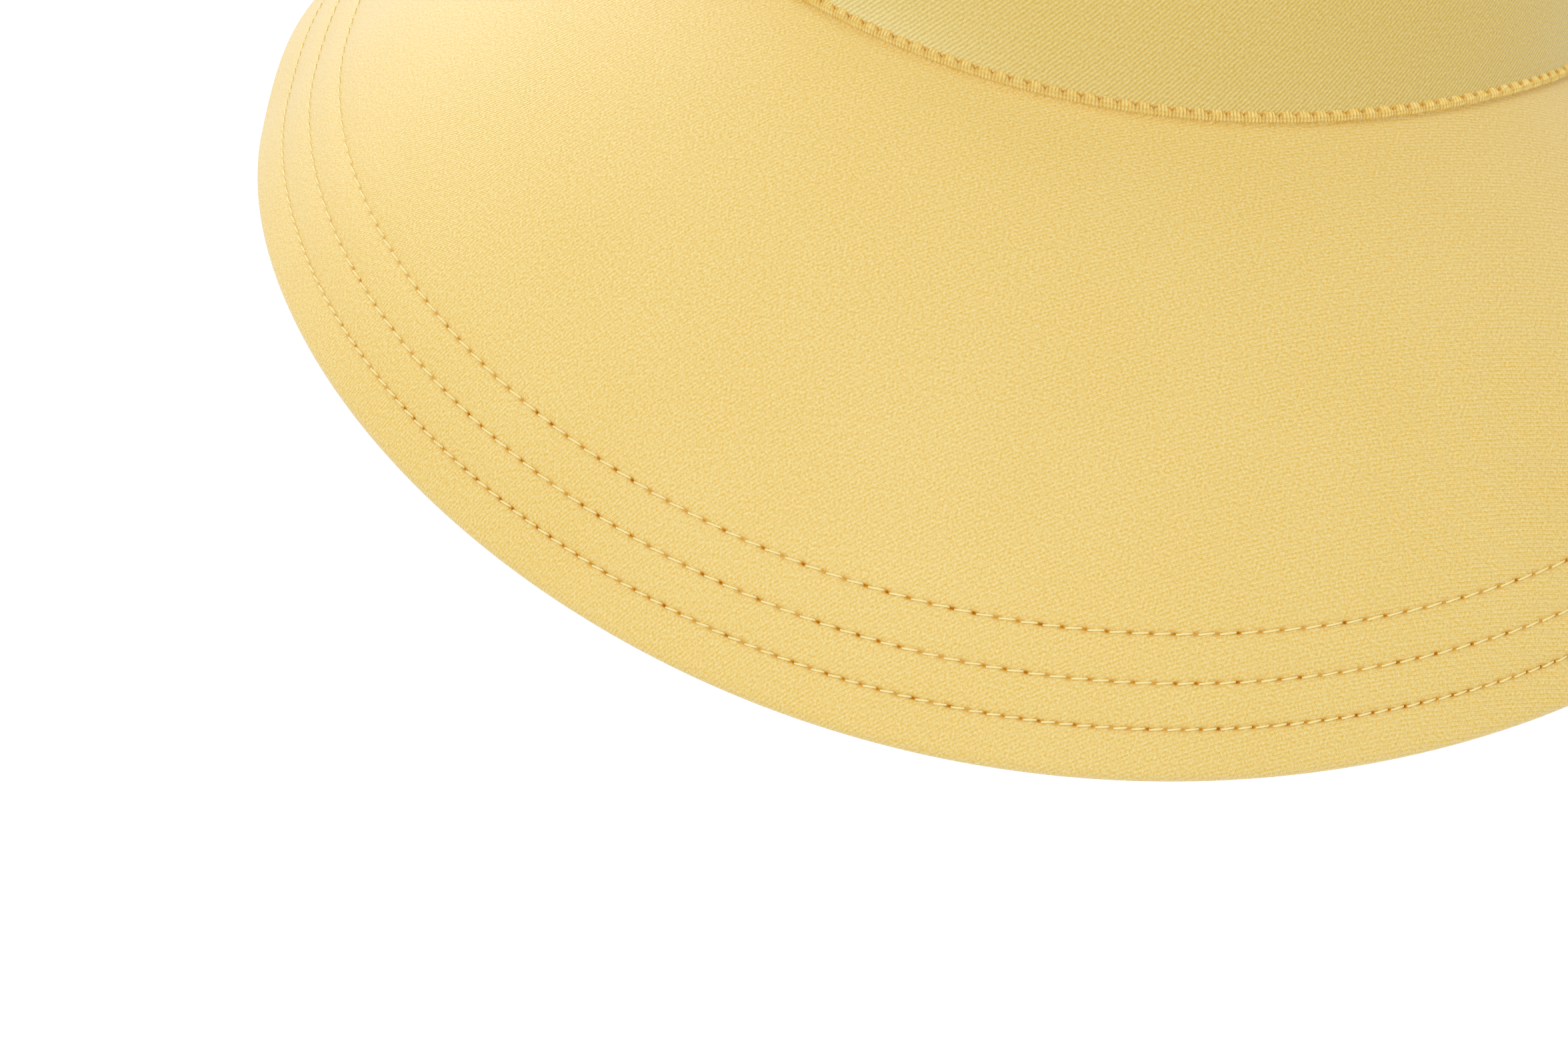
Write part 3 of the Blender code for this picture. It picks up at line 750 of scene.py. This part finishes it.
def stitch_relief(angle, inset):
    """How deep the stitching draws the cloth in, and how strongly each place is painted with a needle
    hole's shade or shadow.
    """
    depth = np.zeros(np.broadcast(angle, inset).shape)
    painted_hole_shade = np.zeros_like(depth)
    width = brim_width(angle)
    # The holes' painted shade, and their depth, fade towards the sides.
    fade_to_sides = 1 - SIDE_FADE * smooth((np.abs(angle) - SIDE_FADE_START) / SIDE_FADE_LENGTH)
    for seed, (row, (row_inset, stitch)) in enumerate(STITCH_ROWS.items()):
        cell = np.interp(angle, *ROW_LINES[row]) / stitch
        hole = np.round(cell)
        ahead = (cell - hole) * stitch
        aside = inset - row_inset
        strength = HOLE_LEAST + (1 - HOLE_LEAST) * chance(hole, seed)
        alive = smooth((width - row_inset - STITCH_SEAM_MARGIN) / ROW_FADE)
        groove = GROOVE_DEPTH * np.exp(-(aside / GROOVE_WIDTH) ** 2)
        prick = soft_spot(ahead, aside, HOLE_LENGTH, HOLE_WIDTH) * strength * fade_to_sides
        depth += alive * (groove + HOLE_DEPTH * prick)
        pucker = PUCKER_SHADE * soft_spot(ahead, aside, PUCKER_LENGTH, PUCKER_WIDTH) * fade_to_sides
        shade = np.maximum(HOLE_SHADE * prick - HOLE_SHADE_FLOOR, pucker)
        painted_hole_shade = np.maximum(painted_hole_shade, alive * np.clip(shade, 0, 1))
    return depth, painted_hole_shade


def brim_columns(count):
    """Angles round the brim, evenly spaced along its edge."""
    angles, length = row_line(0.0)
    return np.interp(np.linspace(length[0], length[-1], count), length, angles)


def brim_insets(angle, start):
    """Insets from the edge, for each angle, to start from the seam, close together along the stitching."""
    edge = BRIM_THICKNESS / 2
    last = edge + EDGE_GRID
    near = [np.linspace(edge, last, BRIM_EDGE_POINTS)]
    for row_inset, stitch in STITCH_ROWS.values():
        near.append(np.linspace(last, row_inset - STITCH_GRID[-1], BETWEEN_ROWS_POINTS)[1:])
        near.append(row_inset + STITCH_GRID)
        last = row_inset + STITCH_GRID[-1]
    near = np.concatenate(near + [np.linspace(last, STITCH_ZONE, BRIM_EDGE_POINTS)[1:]])
    width = brim_width(angle)[:, None]
    scale = np.minimum(1.0, (width - BRIM_START) * ZONE_SHARE / STITCH_ZONE)
    zone = edge + (near[None] - edge) * scale
    plain = np.linspace(0, 1, BRIM_PLAIN_POINTS)[None, 1:]
    return np.concatenate([zone, zone[:, -1:] + (width - start - zone[:, -1:]) * plain], axis=1)


def flat_cloth(angle, across):
    """Where a point of the brim lies on the flat cloth that it was cut from."""
    place, out = seam(angle)
    return (place + out * across[..., None])[..., :2]


def brim_top():
    """Upper cloth of the brim, drawn in along its stitching and rolled under at the edge."""
    columns = brim_columns(BRIM_TOP_COLUMNS)
    first, last = columns[0] - CLOSED_END_ANGLE, columns[-1] + CLOSED_END_ANGLE
    angle = np.concatenate([[first], columns, [last]])[:, None]
    width = brim_width(angle)
    inset = brim_insets(angle[:, 0], BRIM_START)[:, ::-1]
    depth, painted_hole_shade = stitch_relief(angle, inset)
    radius = BRIM_THICKNESS / 2
    inner = radius - CLOTH_THICKNESS
    edge = width - radius
    rise = np.radians(np.linspace(90, 0, FILLET_POINTS))[None, :-1]
    roll = np.radians(np.linspace(90, -90, ROLL_POINTS))[None, 1:]
    back_roll = roll[:, ::-2]
    back = np.linspace(1, 0, BRIM_BACK_POINTS)[None, 1:]
    level = 0 * width
    across = np.concatenate([
        BRIM_START - FILLET_REACH * np.sin(rise) + level, width - inset, edge + radius * np.cos(roll),
        edge + inner * np.cos(back_roll), BRIM_START + (edge - BRIM_START) * back], axis=1)
    lift = np.concatenate([
        FILLET_HEIGHT * (1 - np.cos(rise)) + level, -depth, -radius + radius * np.sin(roll) + level,
        -radius + inner * np.sin(back_roll) + level, 0 * back - CLOTH_THICKNESS + level], axis=1)
    outside = rise.size + painted_hole_shade.shape[1] + roll.size
    gathered = np.linspace(*CLOSED_END_LIFT, across.shape[1] - outside)
    lift[[0, -1], outside:] = gathered - BRIM_THICKNESS
    # Needle holes and the cloth round them carry painted shade.
    marks = np.zeros(across.shape)
    marks[:, rise.size:rise.size + painted_hole_shade.shape[1]] = painted_hole_shade
    cloth = flat_cloth(angle, across)
    return solid("brim_top", brim_point(angle, across, lift), cloth, brim_cloth, marks)


def brim_under():
    """Lower cloth of the brim, inside the rolled edge."""
    angle = brim_columns(BRIM_UNDER_COLUMNS)[:, None]
    width = brim_width(angle)
    inset = brim_insets(angle[:, 0], UNDER_START)[:, ::-1]
    inset = LAYER_GAP + inset * (1 - LAYER_GAP / (width - UNDER_START))
    depth, painted_hole_shade = stitch_relief(angle, inset)
    across = width - inset
    back = across[:, ::-BRIM_BACK_STRIDE]
    rise = np.full(back.shape, CLOTH_THICKNESS)
    sheet = np.concatenate([across, back], axis=1)
    lift = np.concatenate([np.minimum(depth, UNDER_PULL_LIMIT), rise], axis=1) - BRIM_THICKNESS
    marks = np.zeros(sheet.shape)
    marks[:, :painted_hole_shade.shape[1]] = painted_hole_shade * UNDER_SHADE
    cloth = flat_cloth(angle, sheet)
    return solid("brim_under", brim_point(angle, sheet, lift), cloth, under_cloth, marks)


def stitched_thread(name, row, face):
    """Thread of one row: each stitch lies in the groove, slightly aslant, and dives through its holes."""
    inset, stitch = STITCH_ROWS[row]
    angles, length = ROW_LINES[row]
    end = row_end(inset)
    first = math.ceil(np.interp(-end, angles, length) / stitch)
    last = math.floor(np.interp(end, angles, length) / stitch)
    cell = (np.arange(first, last)[:, None] + STITCH_SHARES[None]).ravel()
    share = np.tile(STITCH_SHARES, last - first)
    angle = np.interp(cell * stitch, length, angles)
    up = smooth((np.minimum(share, 1 - share) - DIVE_START) / DIVE_LENGTH)
    across = brim_width(angle) - inset + (0.5 - share) * STITCH_SLANT * smooth(up)
    if face == "top":
        lift = NEEDLE_DEEP + NEEDLE_RISE * up
    else:
        lift = -BRIM_THICKNESS + BOBBIN_DEEP - BOBBIN_FALL * up
    centres = brim_point(angle, across, lift)
    sideways = brim_point(angle, across + 1, lift) - centres
    upwards = brim_point(angle, across, lift + 1) - centres
    return tube(name, centres, sideways, upwards, sewing_thread)


# Seam and band

def seam_line(end):
    """Angles along the seam, as far as end on both sides, and the length along it."""
    angles = np.linspace(-end, end, SEAM_SAMPLES)
    return angles, along(seam(angles)[0])


def ridge():
    """Rolled ridge in the seam: scalloped along its top by the seam's stitches."""
    angles, length = seam_line(BRIM_END_ANGLE)
    steps = np.linspace(length[0], length[-1], RIDGE_COLUMNS)[:, None]
    angle = np.interp(steps, length, angles)
    turn = ring_angles(RIDGE_SIDES)[None]
    rising = np.sin(turn)
    cell = steps / RIDGE_PITCH + NOTCH_SLANT * rising
    strength = NOTCH_LEAST + (1 - NOTCH_LEAST) * chance(np.round(cell), NOTCH_SEED)
    notch = (1 - np.abs(np.sin(np.pi * cell))) ** NOTCH_SHARPNESS * strength
    rib = np.sin(2 * np.pi * steps / RIDGE_RIB_PITCH + RIDGE_RIB_TWIST * rising)
    top = smooth(rising * NOTCH_TOP_GAIN)
    crest = rising * (1 + RIDGE_RIB_RISE * rib)
    swell = np.cos(turn) * (1 + RIDGE_RIB_SWELL * rib - NOTCH_PINCH * notch)
    up = RIDGE_BASE + RIDGE_HEIGHT / 2 * (1 + crest) - NOTCH_DEPTH * notch * top
    offset = RIDGE_THICKNESS / 2 * (RIDGE_OUT + swell) - RIDGE_LEAN * rising
    rings = band_point(angle, up, offset)
    cloth = on_cloth(steps, np.broadcast_to(turn * RIDGE_THICKNESS / 2, up.shape))
    # Painted shade in the notches, deepest at their top, and in the valleys between the ribs
    shade = notch * (NOTCH_SHADE + NOTCH_TOP_SHADE * top) + RIDGE_RIB_SHADE * np.clip(-rib, 0, 1)
    return solid("seam_ridge", rings, cloth, ridge_cloth, np.clip(shade, 0, 1))


def band_columns(end, count):
    """Angles round the band and lengths along the seam from the middle of the front, evenly spaced."""
    angles, length = seam_line(end)
    length -= length[-1] / 2
    steps = np.linspace(length[0], length[-1], count)
    return np.interp(steps, length, angles)[:, None], steps[:, None]


def band_sheet(name, angle, steps, low, high, back, face, look, rows):
    """Sheet along the band's wall, from low to high up it and from back to face."""
    share = np.linspace(0, 1, rows)[None]
    up = low + (high - low) * np.concatenate([share, share[:, ::-1]], axis=1)
    up = np.broadcast_to(up, (len(angle), 2 * rows))
    offset = np.broadcast_to(np.repeat([face, back], rows), up.shape)
    rings = band_point(angle, up, offset)
    return solid(name, rings, on_cloth(steps, up), look)


def lining():
    """Lining of the band."""
    angle, steps = band_columns(BAND_END_ANGLE, BAND_COLUMNS)
    return band_sheet("lining", angle, steps, SEAM_CLEAR, band_height(angle), LINING_BACK, LINING_FACE,
                      lining_cloth, BAND_ROWS)


def sweat_band():
    """Soft band against the forehead, which hangs a little below the seam."""
    angle, steps = band_columns(SWEATBAND_END_ANGLE, BAND_COLUMNS)
    return band_sheet("sweat_band", angle, steps, -SWEATBAND_DROP, SWEATBAND_HEIGHT, SWEATBAND_BACK,
                      SWEATBAND_FACE, sweat_cloth, BAND_ROWS)


def label():
    """Blank label on the lining, beside the back opening."""
    middle = (SWEATBAND_END_ANGLE + BAND_END_ANGLE) / 2
    half = LABEL_LENGTH / 2 / REAR_QUARTER * 90
    angle = np.linspace(middle - half, middle + half, LABEL_COLUMNS)[:, None]
    steps = angle * REAR_QUARTER / 90
    return band_sheet("blank_label", angle, steps, LABEL_LIFT, LABEL_LIFT + LABEL_HEIGHT, LABEL_BACK,
                      LABEL_FACE, label_cloth, LABEL_ROWS)


def band_outside():
    """Outside cloth of the band, puckered a little at the seam and turned in under the band's foot."""
    angle, steps = band_columns(BAND_END_ANGLE, OUTSIDE_COLUMNS)
    share = np.linspace(0, 1, OUTSIDE_ROWS)[None] ** BAND_ROW_POWER
    up = RIDGE_BASE + (band_height(angle) - RIDGE_BASE) * share
    ripple = np.sin(2 * np.pi * (steps / RIDGE_PITCH - up * BAND_PUCKER_SLANT))
    pucker = BAND_PUCKER * ripple * np.exp(-up / BAND_PUCKER_FADE)
    back = up[:, ::-BAND_BACK_STRIDE][:, :-1]
    hem_top = RIDGE_BASE + HEM_THICKNESS
    hem = np.array([[hem_top, hem_top, RIDGE_BASE]]) + 0 * angle
    hem_offset = np.array([[-BAND_CLOTH, HEM_BACK, HEM_BACK]]) + 0 * angle
    rise = np.concatenate([up, back, hem], axis=1)
    offset = np.concatenate([pucker, np.full(back.shape, -BAND_CLOTH), hem_offset], axis=1)
    rings = band_point(angle, rise, offset)
    return solid("band_outside", rings, on_cloth(steps, rise - np.minimum(offset, 0)), band_cloth)


def binding():
    """Strip folded over the band's top edge, round at the fold."""
    angle, steps = band_columns(BAND_END_ANGLE, BAND_COLUMNS)
    top = band_height(angle)
    foot = top - BINDING_DEPTH
    fold = top + BINDING_CROWN - BINDING_FOLD
    middle = (BINDING_OUT + BINDING_IN) / 2
    half = (BINDING_OUT - BINDING_IN) / 2
    turn = np.radians(np.linspace(0, 180, FOLD_POINTS))[None]
    back = turn[:, ::-1]
    up = np.concatenate([
        foot, fold + BINDING_FOLD * np.sin(turn), foot, foot,
        fold + (BINDING_FOLD - BINDING_CLOTH) * np.sin(back), foot], axis=1)
    level = 0 * angle
    offset = np.concatenate([
        BINDING_OUT + level, middle + half * np.cos(turn) + level, BINDING_IN + level,
        BINDING_IN + BINDING_CLOTH + level, middle + (half - BINDING_CLOTH) * np.cos(back) + level,
        BINDING_OUT - BINDING_CLOTH + level], axis=1)
    rings = band_point(angle, up, offset)
    return solid("binding", rings, on_cloth(steps, up + offset), band_cloth)


def band_thread(name, end, height, face, outward):
    """Row of stitches round the band on one face; outward is 1 or -1, the way that face looks."""
    angle, steps = band_columns(end - BAND_ROW_END_MARGIN, BAND_THREAD_COLUMNS)
    share = np.mod(steps / BAND_STITCH_LENGTH, 1.0)
    arch = np.minimum(1.0, np.sin(np.pi * share) * BAND_STITCH_STEEPNESS)
    offset = (face + outward * (BAND_STITCH_DEEP + BAND_STITCH_RISE * arch))[:, 0]
    up = (height(angle) + (0.5 - share) * STITCH_SLANT)[:, 0]
    centres = band_point(angle[:, 0], up, offset)
    upwards = band_point(angle[:, 0], up + 1, offset) - centres
    outwards = band_point(angle[:, 0], up, offset + 1) - centres
    return tube(name, centres, upwards, outwards, sewing_thread)


def binding_row_height(angle):
    """Height of the stitches that hold the binding's outside edge."""
    return band_height(angle) - BINDING_DEPTH + BAND_ROW_MARGIN


def sweatband_row_height(angle):
    """Height of the stitches that hold the sweatband's upper edge."""
    return 0 * angle + SWEATBAND_HEIGHT - BAND_ROW_MARGIN


# Back closure

def strap_edges(angle, tip):
    """Lower and upper edges of a strap with a rounded tip."""
    base = seam(np.array([BAND_END_ANGLE]))[0][0, 2] + SEAM_CLEAR + TAPE_MARGIN / 2
    left = np.radians(np.abs(tip - angle)) * REAR_RADIUS
    past = np.clip(TIP_RADIUS - left, 0, None)
    drawn = TIP_RADIUS - np.sqrt(np.clip(TIP_RADIUS ** 2 - past ** 2, 0, None))
    return base + drawn, base + STRAP_HEIGHT - drawn


def strap_angles(root, tip):
    """Angles from a strap's root to its tip, close together where the tip rounds off."""
    corner = math.copysign(math.degrees(TIP_RADIUS / REAR_RADIUS), tip - root)
    turn = np.radians(np.linspace(0, 90, STRAP_TIP_POINTS))[1:]
    straight = np.linspace(root, tip - corner, STRAP_COLUMNS)
    return np.concatenate([straight, tip - corner + corner * np.sin(turn)])


def strip(name, angle, tip, back, face):
    """Strip of the band's cloth round the back, as far as its tip, with softened edges."""
    low, high = (edge[:, None] for edge in strap_edges(angle, tip))
    height = low + (high - low) * np.concatenate([STRIP_SHARES, STRIP_SHARES[::-1]])[None]
    thin = STRIP_ROUNDING[None] * (face - back)[:, None]
    offset = np.concatenate([face[:, None] - thin, back[:, None] + thin], axis=1)
    rings = rear_point(angle[:, None], height, offset)
    return solid(name, rings, on_cloth(np.radians(angle[:, None]) * REAR_RADIUS, height), band_cloth)


def strap():
    """Strap that comes out of the band's pocket."""
    angle = strap_angles(STRAP_ROOT_ANGLE, STRAP_TIP_ANGLE)
    back = np.full(angle.shape, STRAP_BACK)
    face = np.full(angle.shape, STRAP_FACE)
    return strip("strap", angle, STRAP_TIP_ANGLE, back, face)


def tail():
    """Tail that steps out from the band's other end and laps over the strap."""
    ramp_end = TAIL_ROOT_ANGLE + TAIL_RAMP_ANGLE
    ramp = np.linspace(TAIL_ROOT_ANGLE, ramp_end, TAIL_RAMP_COLUMNS)[:-1]
    angle = np.concatenate([ramp, strap_angles(ramp_end, TAIL_TIP_ANGLE)])
    step = smooth((angle - TAIL_ROOT_ANGLE) / TAIL_RAMP_ANGLE)
    back = -BAND_CLOTH + (TAIL_RAISED_BACK + BAND_CLOTH) * step
    return strip("tail", angle, TAIL_TIP_ANGLE, back, back + BAND_CLOTH)


def prism_faces(first, rings, size):
    """Faces of a closed run of rings of this size, whose points count on from first."""
    last = first + size * (rings - 1)
    faces = []
    for corner in range(first, last, size):
        for side in range(size):
            after = (side + 1) % size
            faces.append([corner + side, corner + after, corner + size + after, corner + size + side])
    return faces + [list(range(first, first + size))[::-1], list(range(last, last + size))]


def stem(angle, height, base, outward, lean):
    """Points of a small bent stem that stands on base and leans one way."""
    bend = np.radians(np.linspace(0, STEM_BEND, STEM_RINGS))[:, None]
    sides = ring_angles(STEM_SIDES)[None]
    bow = STEM_BOW * (1 - np.cos(bend))
    sideways = bow * math.cos(lean) + STEM_RADIUS * np.cos(sides)
    upwards = bow * math.sin(lean) + STEM_RADIUS * np.sin(sides)
    rise = np.broadcast_to(base + outward * STEM_HEIGHT * np.sin(bend), upwards.shape)
    return rear_point(angle + np.degrees(sideways / REAR_RADIUS), height + upwards, rise).reshape(-1, 3)


def pile_tape(name, extent, outward, look):
    """Tape with a field of small curved hooks or loops standing on one face."""
    start, end, back, face = extent
    low, high = strap_edges(np.array([0.0]), 90.0)
    low, high = low[0] + TAPE_MARGIN, high[0] - TAPE_MARGIN
    base = face if outward < 0 else back
    middle = base + outward * TAPE_BACKING
    step = math.degrees(PILE_PITCH / REAR_RADIUS)
    heights = np.arange(low + PILE_FOOT_MARGIN, high - PILE_TOP_MARGIN, PILE_PITCH)
    runs = []
    faces = []
    for i, angle in enumerate(np.arange(start + step, end - step / 2, step)):
        for j, height in enumerate(heights):
            lean = math.radians(360 * chance(i * PILE_ROW_NUMBERS + j, PILE_SEED))
            faces += prism_faces(len(runs) * STEM_RINGS * STEM_SIDES, STEM_RINGS, STEM_SIDES)
            runs.append(stem(angle, height, middle, outward, lean))
    section = np.array([[low, high, high, low]]), np.array([[middle, middle, base, base]])
    faces += prism_faces(len(runs) * STEM_RINGS * STEM_SIDES, TAPE_COLUMNS, section[0].size)
    backing = rear_point(np.linspace(start, end, TAPE_COLUMNS)[:, None], *section)
    points = np.concatenate(runs + [backing.reshape(-1, 3)])
    return surface(name, points, faces, points[:, [0, 2]], look)


# Scene


def dress():
    """Builds every visible piece on the frame."""
    show(brim_top(), "visor", "brim_fabric", "brim_top_panel")
    show(brim_under(), "visor", "brim_under_fabric", "brim_under_panel")
    for row in STITCH_ROWS:
        show(stitched_thread("needle_row_" + row, row, "top"), "visor", "thread", "needle_thread_" + row)
        show(stitched_thread("bobbin_row_" + row, row, "under"), "visor", "thread", "bobbin_thread_" + row)
    show(ridge(), "visor", "piping", "seam_piping")
    show(band_outside(), "visor", "band_fabric", "band_outer_panel")
    show(lining(), "visor", "lining_fabric", "band_lining")
    show(sweat_band(), "visor", "sweatband_fabric", "sweatband")
    show(binding(), "visor", "band_fabric", "top_binding")
    show(band_thread("binding_row", BAND_END_ANGLE, binding_row_height, BINDING_OUT, 1),
         "visor", "thread", "binding_stitch")
    show(band_thread("sweatband_row", SWEATBAND_END_ANGLE, sweatband_row_height, SWEATBAND_BACK, -1),
         "visor", "thread", "sweatband_stitch")
    show(label(), "visor", "label", "size_label")
    show(strap(), "strap", "band_fabric", "adjusting_strap")
    show(pile_tape("loop_pile_tape", LOOP_TAPE, 1, pile), "strap", "loop_pile", "loop_tape")
    show(tail(), "tail", "band_fabric", "closure_tail")
    show(pile_tape("hook_pile_tape", HOOK_TAPE, -1, hooks), "tail", "hook_pile", "hook_tape")
    for name in ("brim_insert", "band_interlining"):
        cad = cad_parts[name]
        cad.data.materials.clear()
        cad.data.materials.append(board)


def seen(tree):
    """1 for rays that show a surface to the camera, straight, mirrored or through glass, and else 0."""
    rays = node(tree, "ShaderNodeLightPath", {}).outputs
    without_glass = calc(tree, "MAXIMUM", rays["Is Camera Ray"], rays["Is Glossy Ray"])
    return calc(tree, "MAXIMUM", without_glass, rays["Is Transmission Ray"])


def floor():
    """Plain pale floor well below the visor, which is held up by a head; it can't be seen from beneath."""
    mesh = bpy.data.meshes.new("floor")
    half, level = FLOOR_HALF, cad_low[2] - FLOOR_DROP
    corners = [(-half, -half, level), (half, -half, level), (half, half, level), (-half, half, level)]
    mesh.from_pydata(corners, [], [(0, 1, 2, 3)])
    made, tree, shader = new_material("floor")
    set_inputs(tree, shader, {
        "Base Color": rgba(FLOOR_WHITE), "Roughness": 0.9, "Specular IOR Level": 0.1,
        "Emission Color": rgba(WHITE), "Emission Strength": times(tree, seen(tree), FLOOR_SEEN_GLOW)})
    back = node(tree, "ShaderNodeNewGeometry", {}).outputs["Backfacing"]
    clear = node(tree, "ShaderNodeBsdfTransparent", {}).outputs[0]
    either = node(tree, "ShaderNodeMixShader", {0: back, 1: shader.outputs[0], 2: clear}).outputs[0]
    tree.links.new(either, tree.nodes["Material Output"].inputs["Surface"])
    mesh.materials.append(made)
    plane = bpy.data.objects.new("floor", mesh)
    bpy.context.scene.collection.objects.link(plane)


def light():
    """Soft even light from all round, with one soft lamp in front and another behind on the left."""
    world = bpy.data.worlds.new("studio")
    world.use_nodes = True
    tree = world.node_tree
    level = plus(tree, times(tree, seen(tree), SKY_SEEN_EXTRA), SKY_LEVEL)
    set_inputs(tree, tree.nodes["Background"], {"Color": rgba(WHITE), "Strength": level})
    bpy.context.scene.world = world
    for name, (towards, strength, spread) in LAMPS.items():
        lamp(name, towards, strength, spread)


def lamp(name, towards, strength, spread):
    """Distant lamp as soft as a sky window of the given spread, in the direction of towards."""
    data = bpy.data.lights.new(name, "SUN")
    data.energy = strength
    data.angle = math.radians(spread)
    made = bpy.data.objects.new(name, data)
    made.rotation_euler = Vector(towards).to_track_quat("Z", "Y").to_euler()
    bpy.context.scene.collection.objects.link(made)


def camera():
    """Camera of the photograph, aimed so that the front of the seam falls on its pixel."""
    turn, rise, roll = (math.radians(a) for a in (CAMERA_AZIMUTH, CAMERA_ELEVATION, CAMERA_ROLL))
    back = np.array([math.sin(turn) * math.cos(rise), -math.cos(turn) * math.cos(rise), math.sin(rise)])
    right = np.array([math.cos(turn), math.sin(turn), 0.0])
    up = np.cross(back, right)
    across = math.cos(roll) * right + math.sin(roll) * up
    down = math.sin(roll) * right - math.cos(roll) * up
    target = np.array([0.0, -OPENING_FRONT_DEPTH, 0.0])
    aside = (SEAM_FRONT_PIXEL[0] - PHOTO_WIDTH / 2) / FOCAL_PIXELS * CAMERA_DISTANCE
    below = (SEAM_FRONT_PIXEL[1] - PHOTO_HEIGHT / 2) / FOCAL_PIXELS * CAMERA_DISTANCE
    place = target - across * aside - down * below + back * CAMERA_DISTANCE
    data = bpy.data.cameras.new("photo")
    data.sensor_width = SENSOR_WIDTH
    data.lens = FOCAL_PIXELS / PHOTO_WIDTH * SENSOR_WIDTH
    made = bpy.data.objects.new("photo", data)
    columns = np.column_stack([across, -down, back])
    made.matrix_world = Matrix.Translation((place * MM).tolist()) @ Matrix(columns.tolist()).to_4x4()
    bpy.context.scene.collection.objects.link(made)
    bpy.context.scene.camera = made


dress()
floor()
light()
camera()
bpy.context.scene.view_settings.view_transform = "Standard"
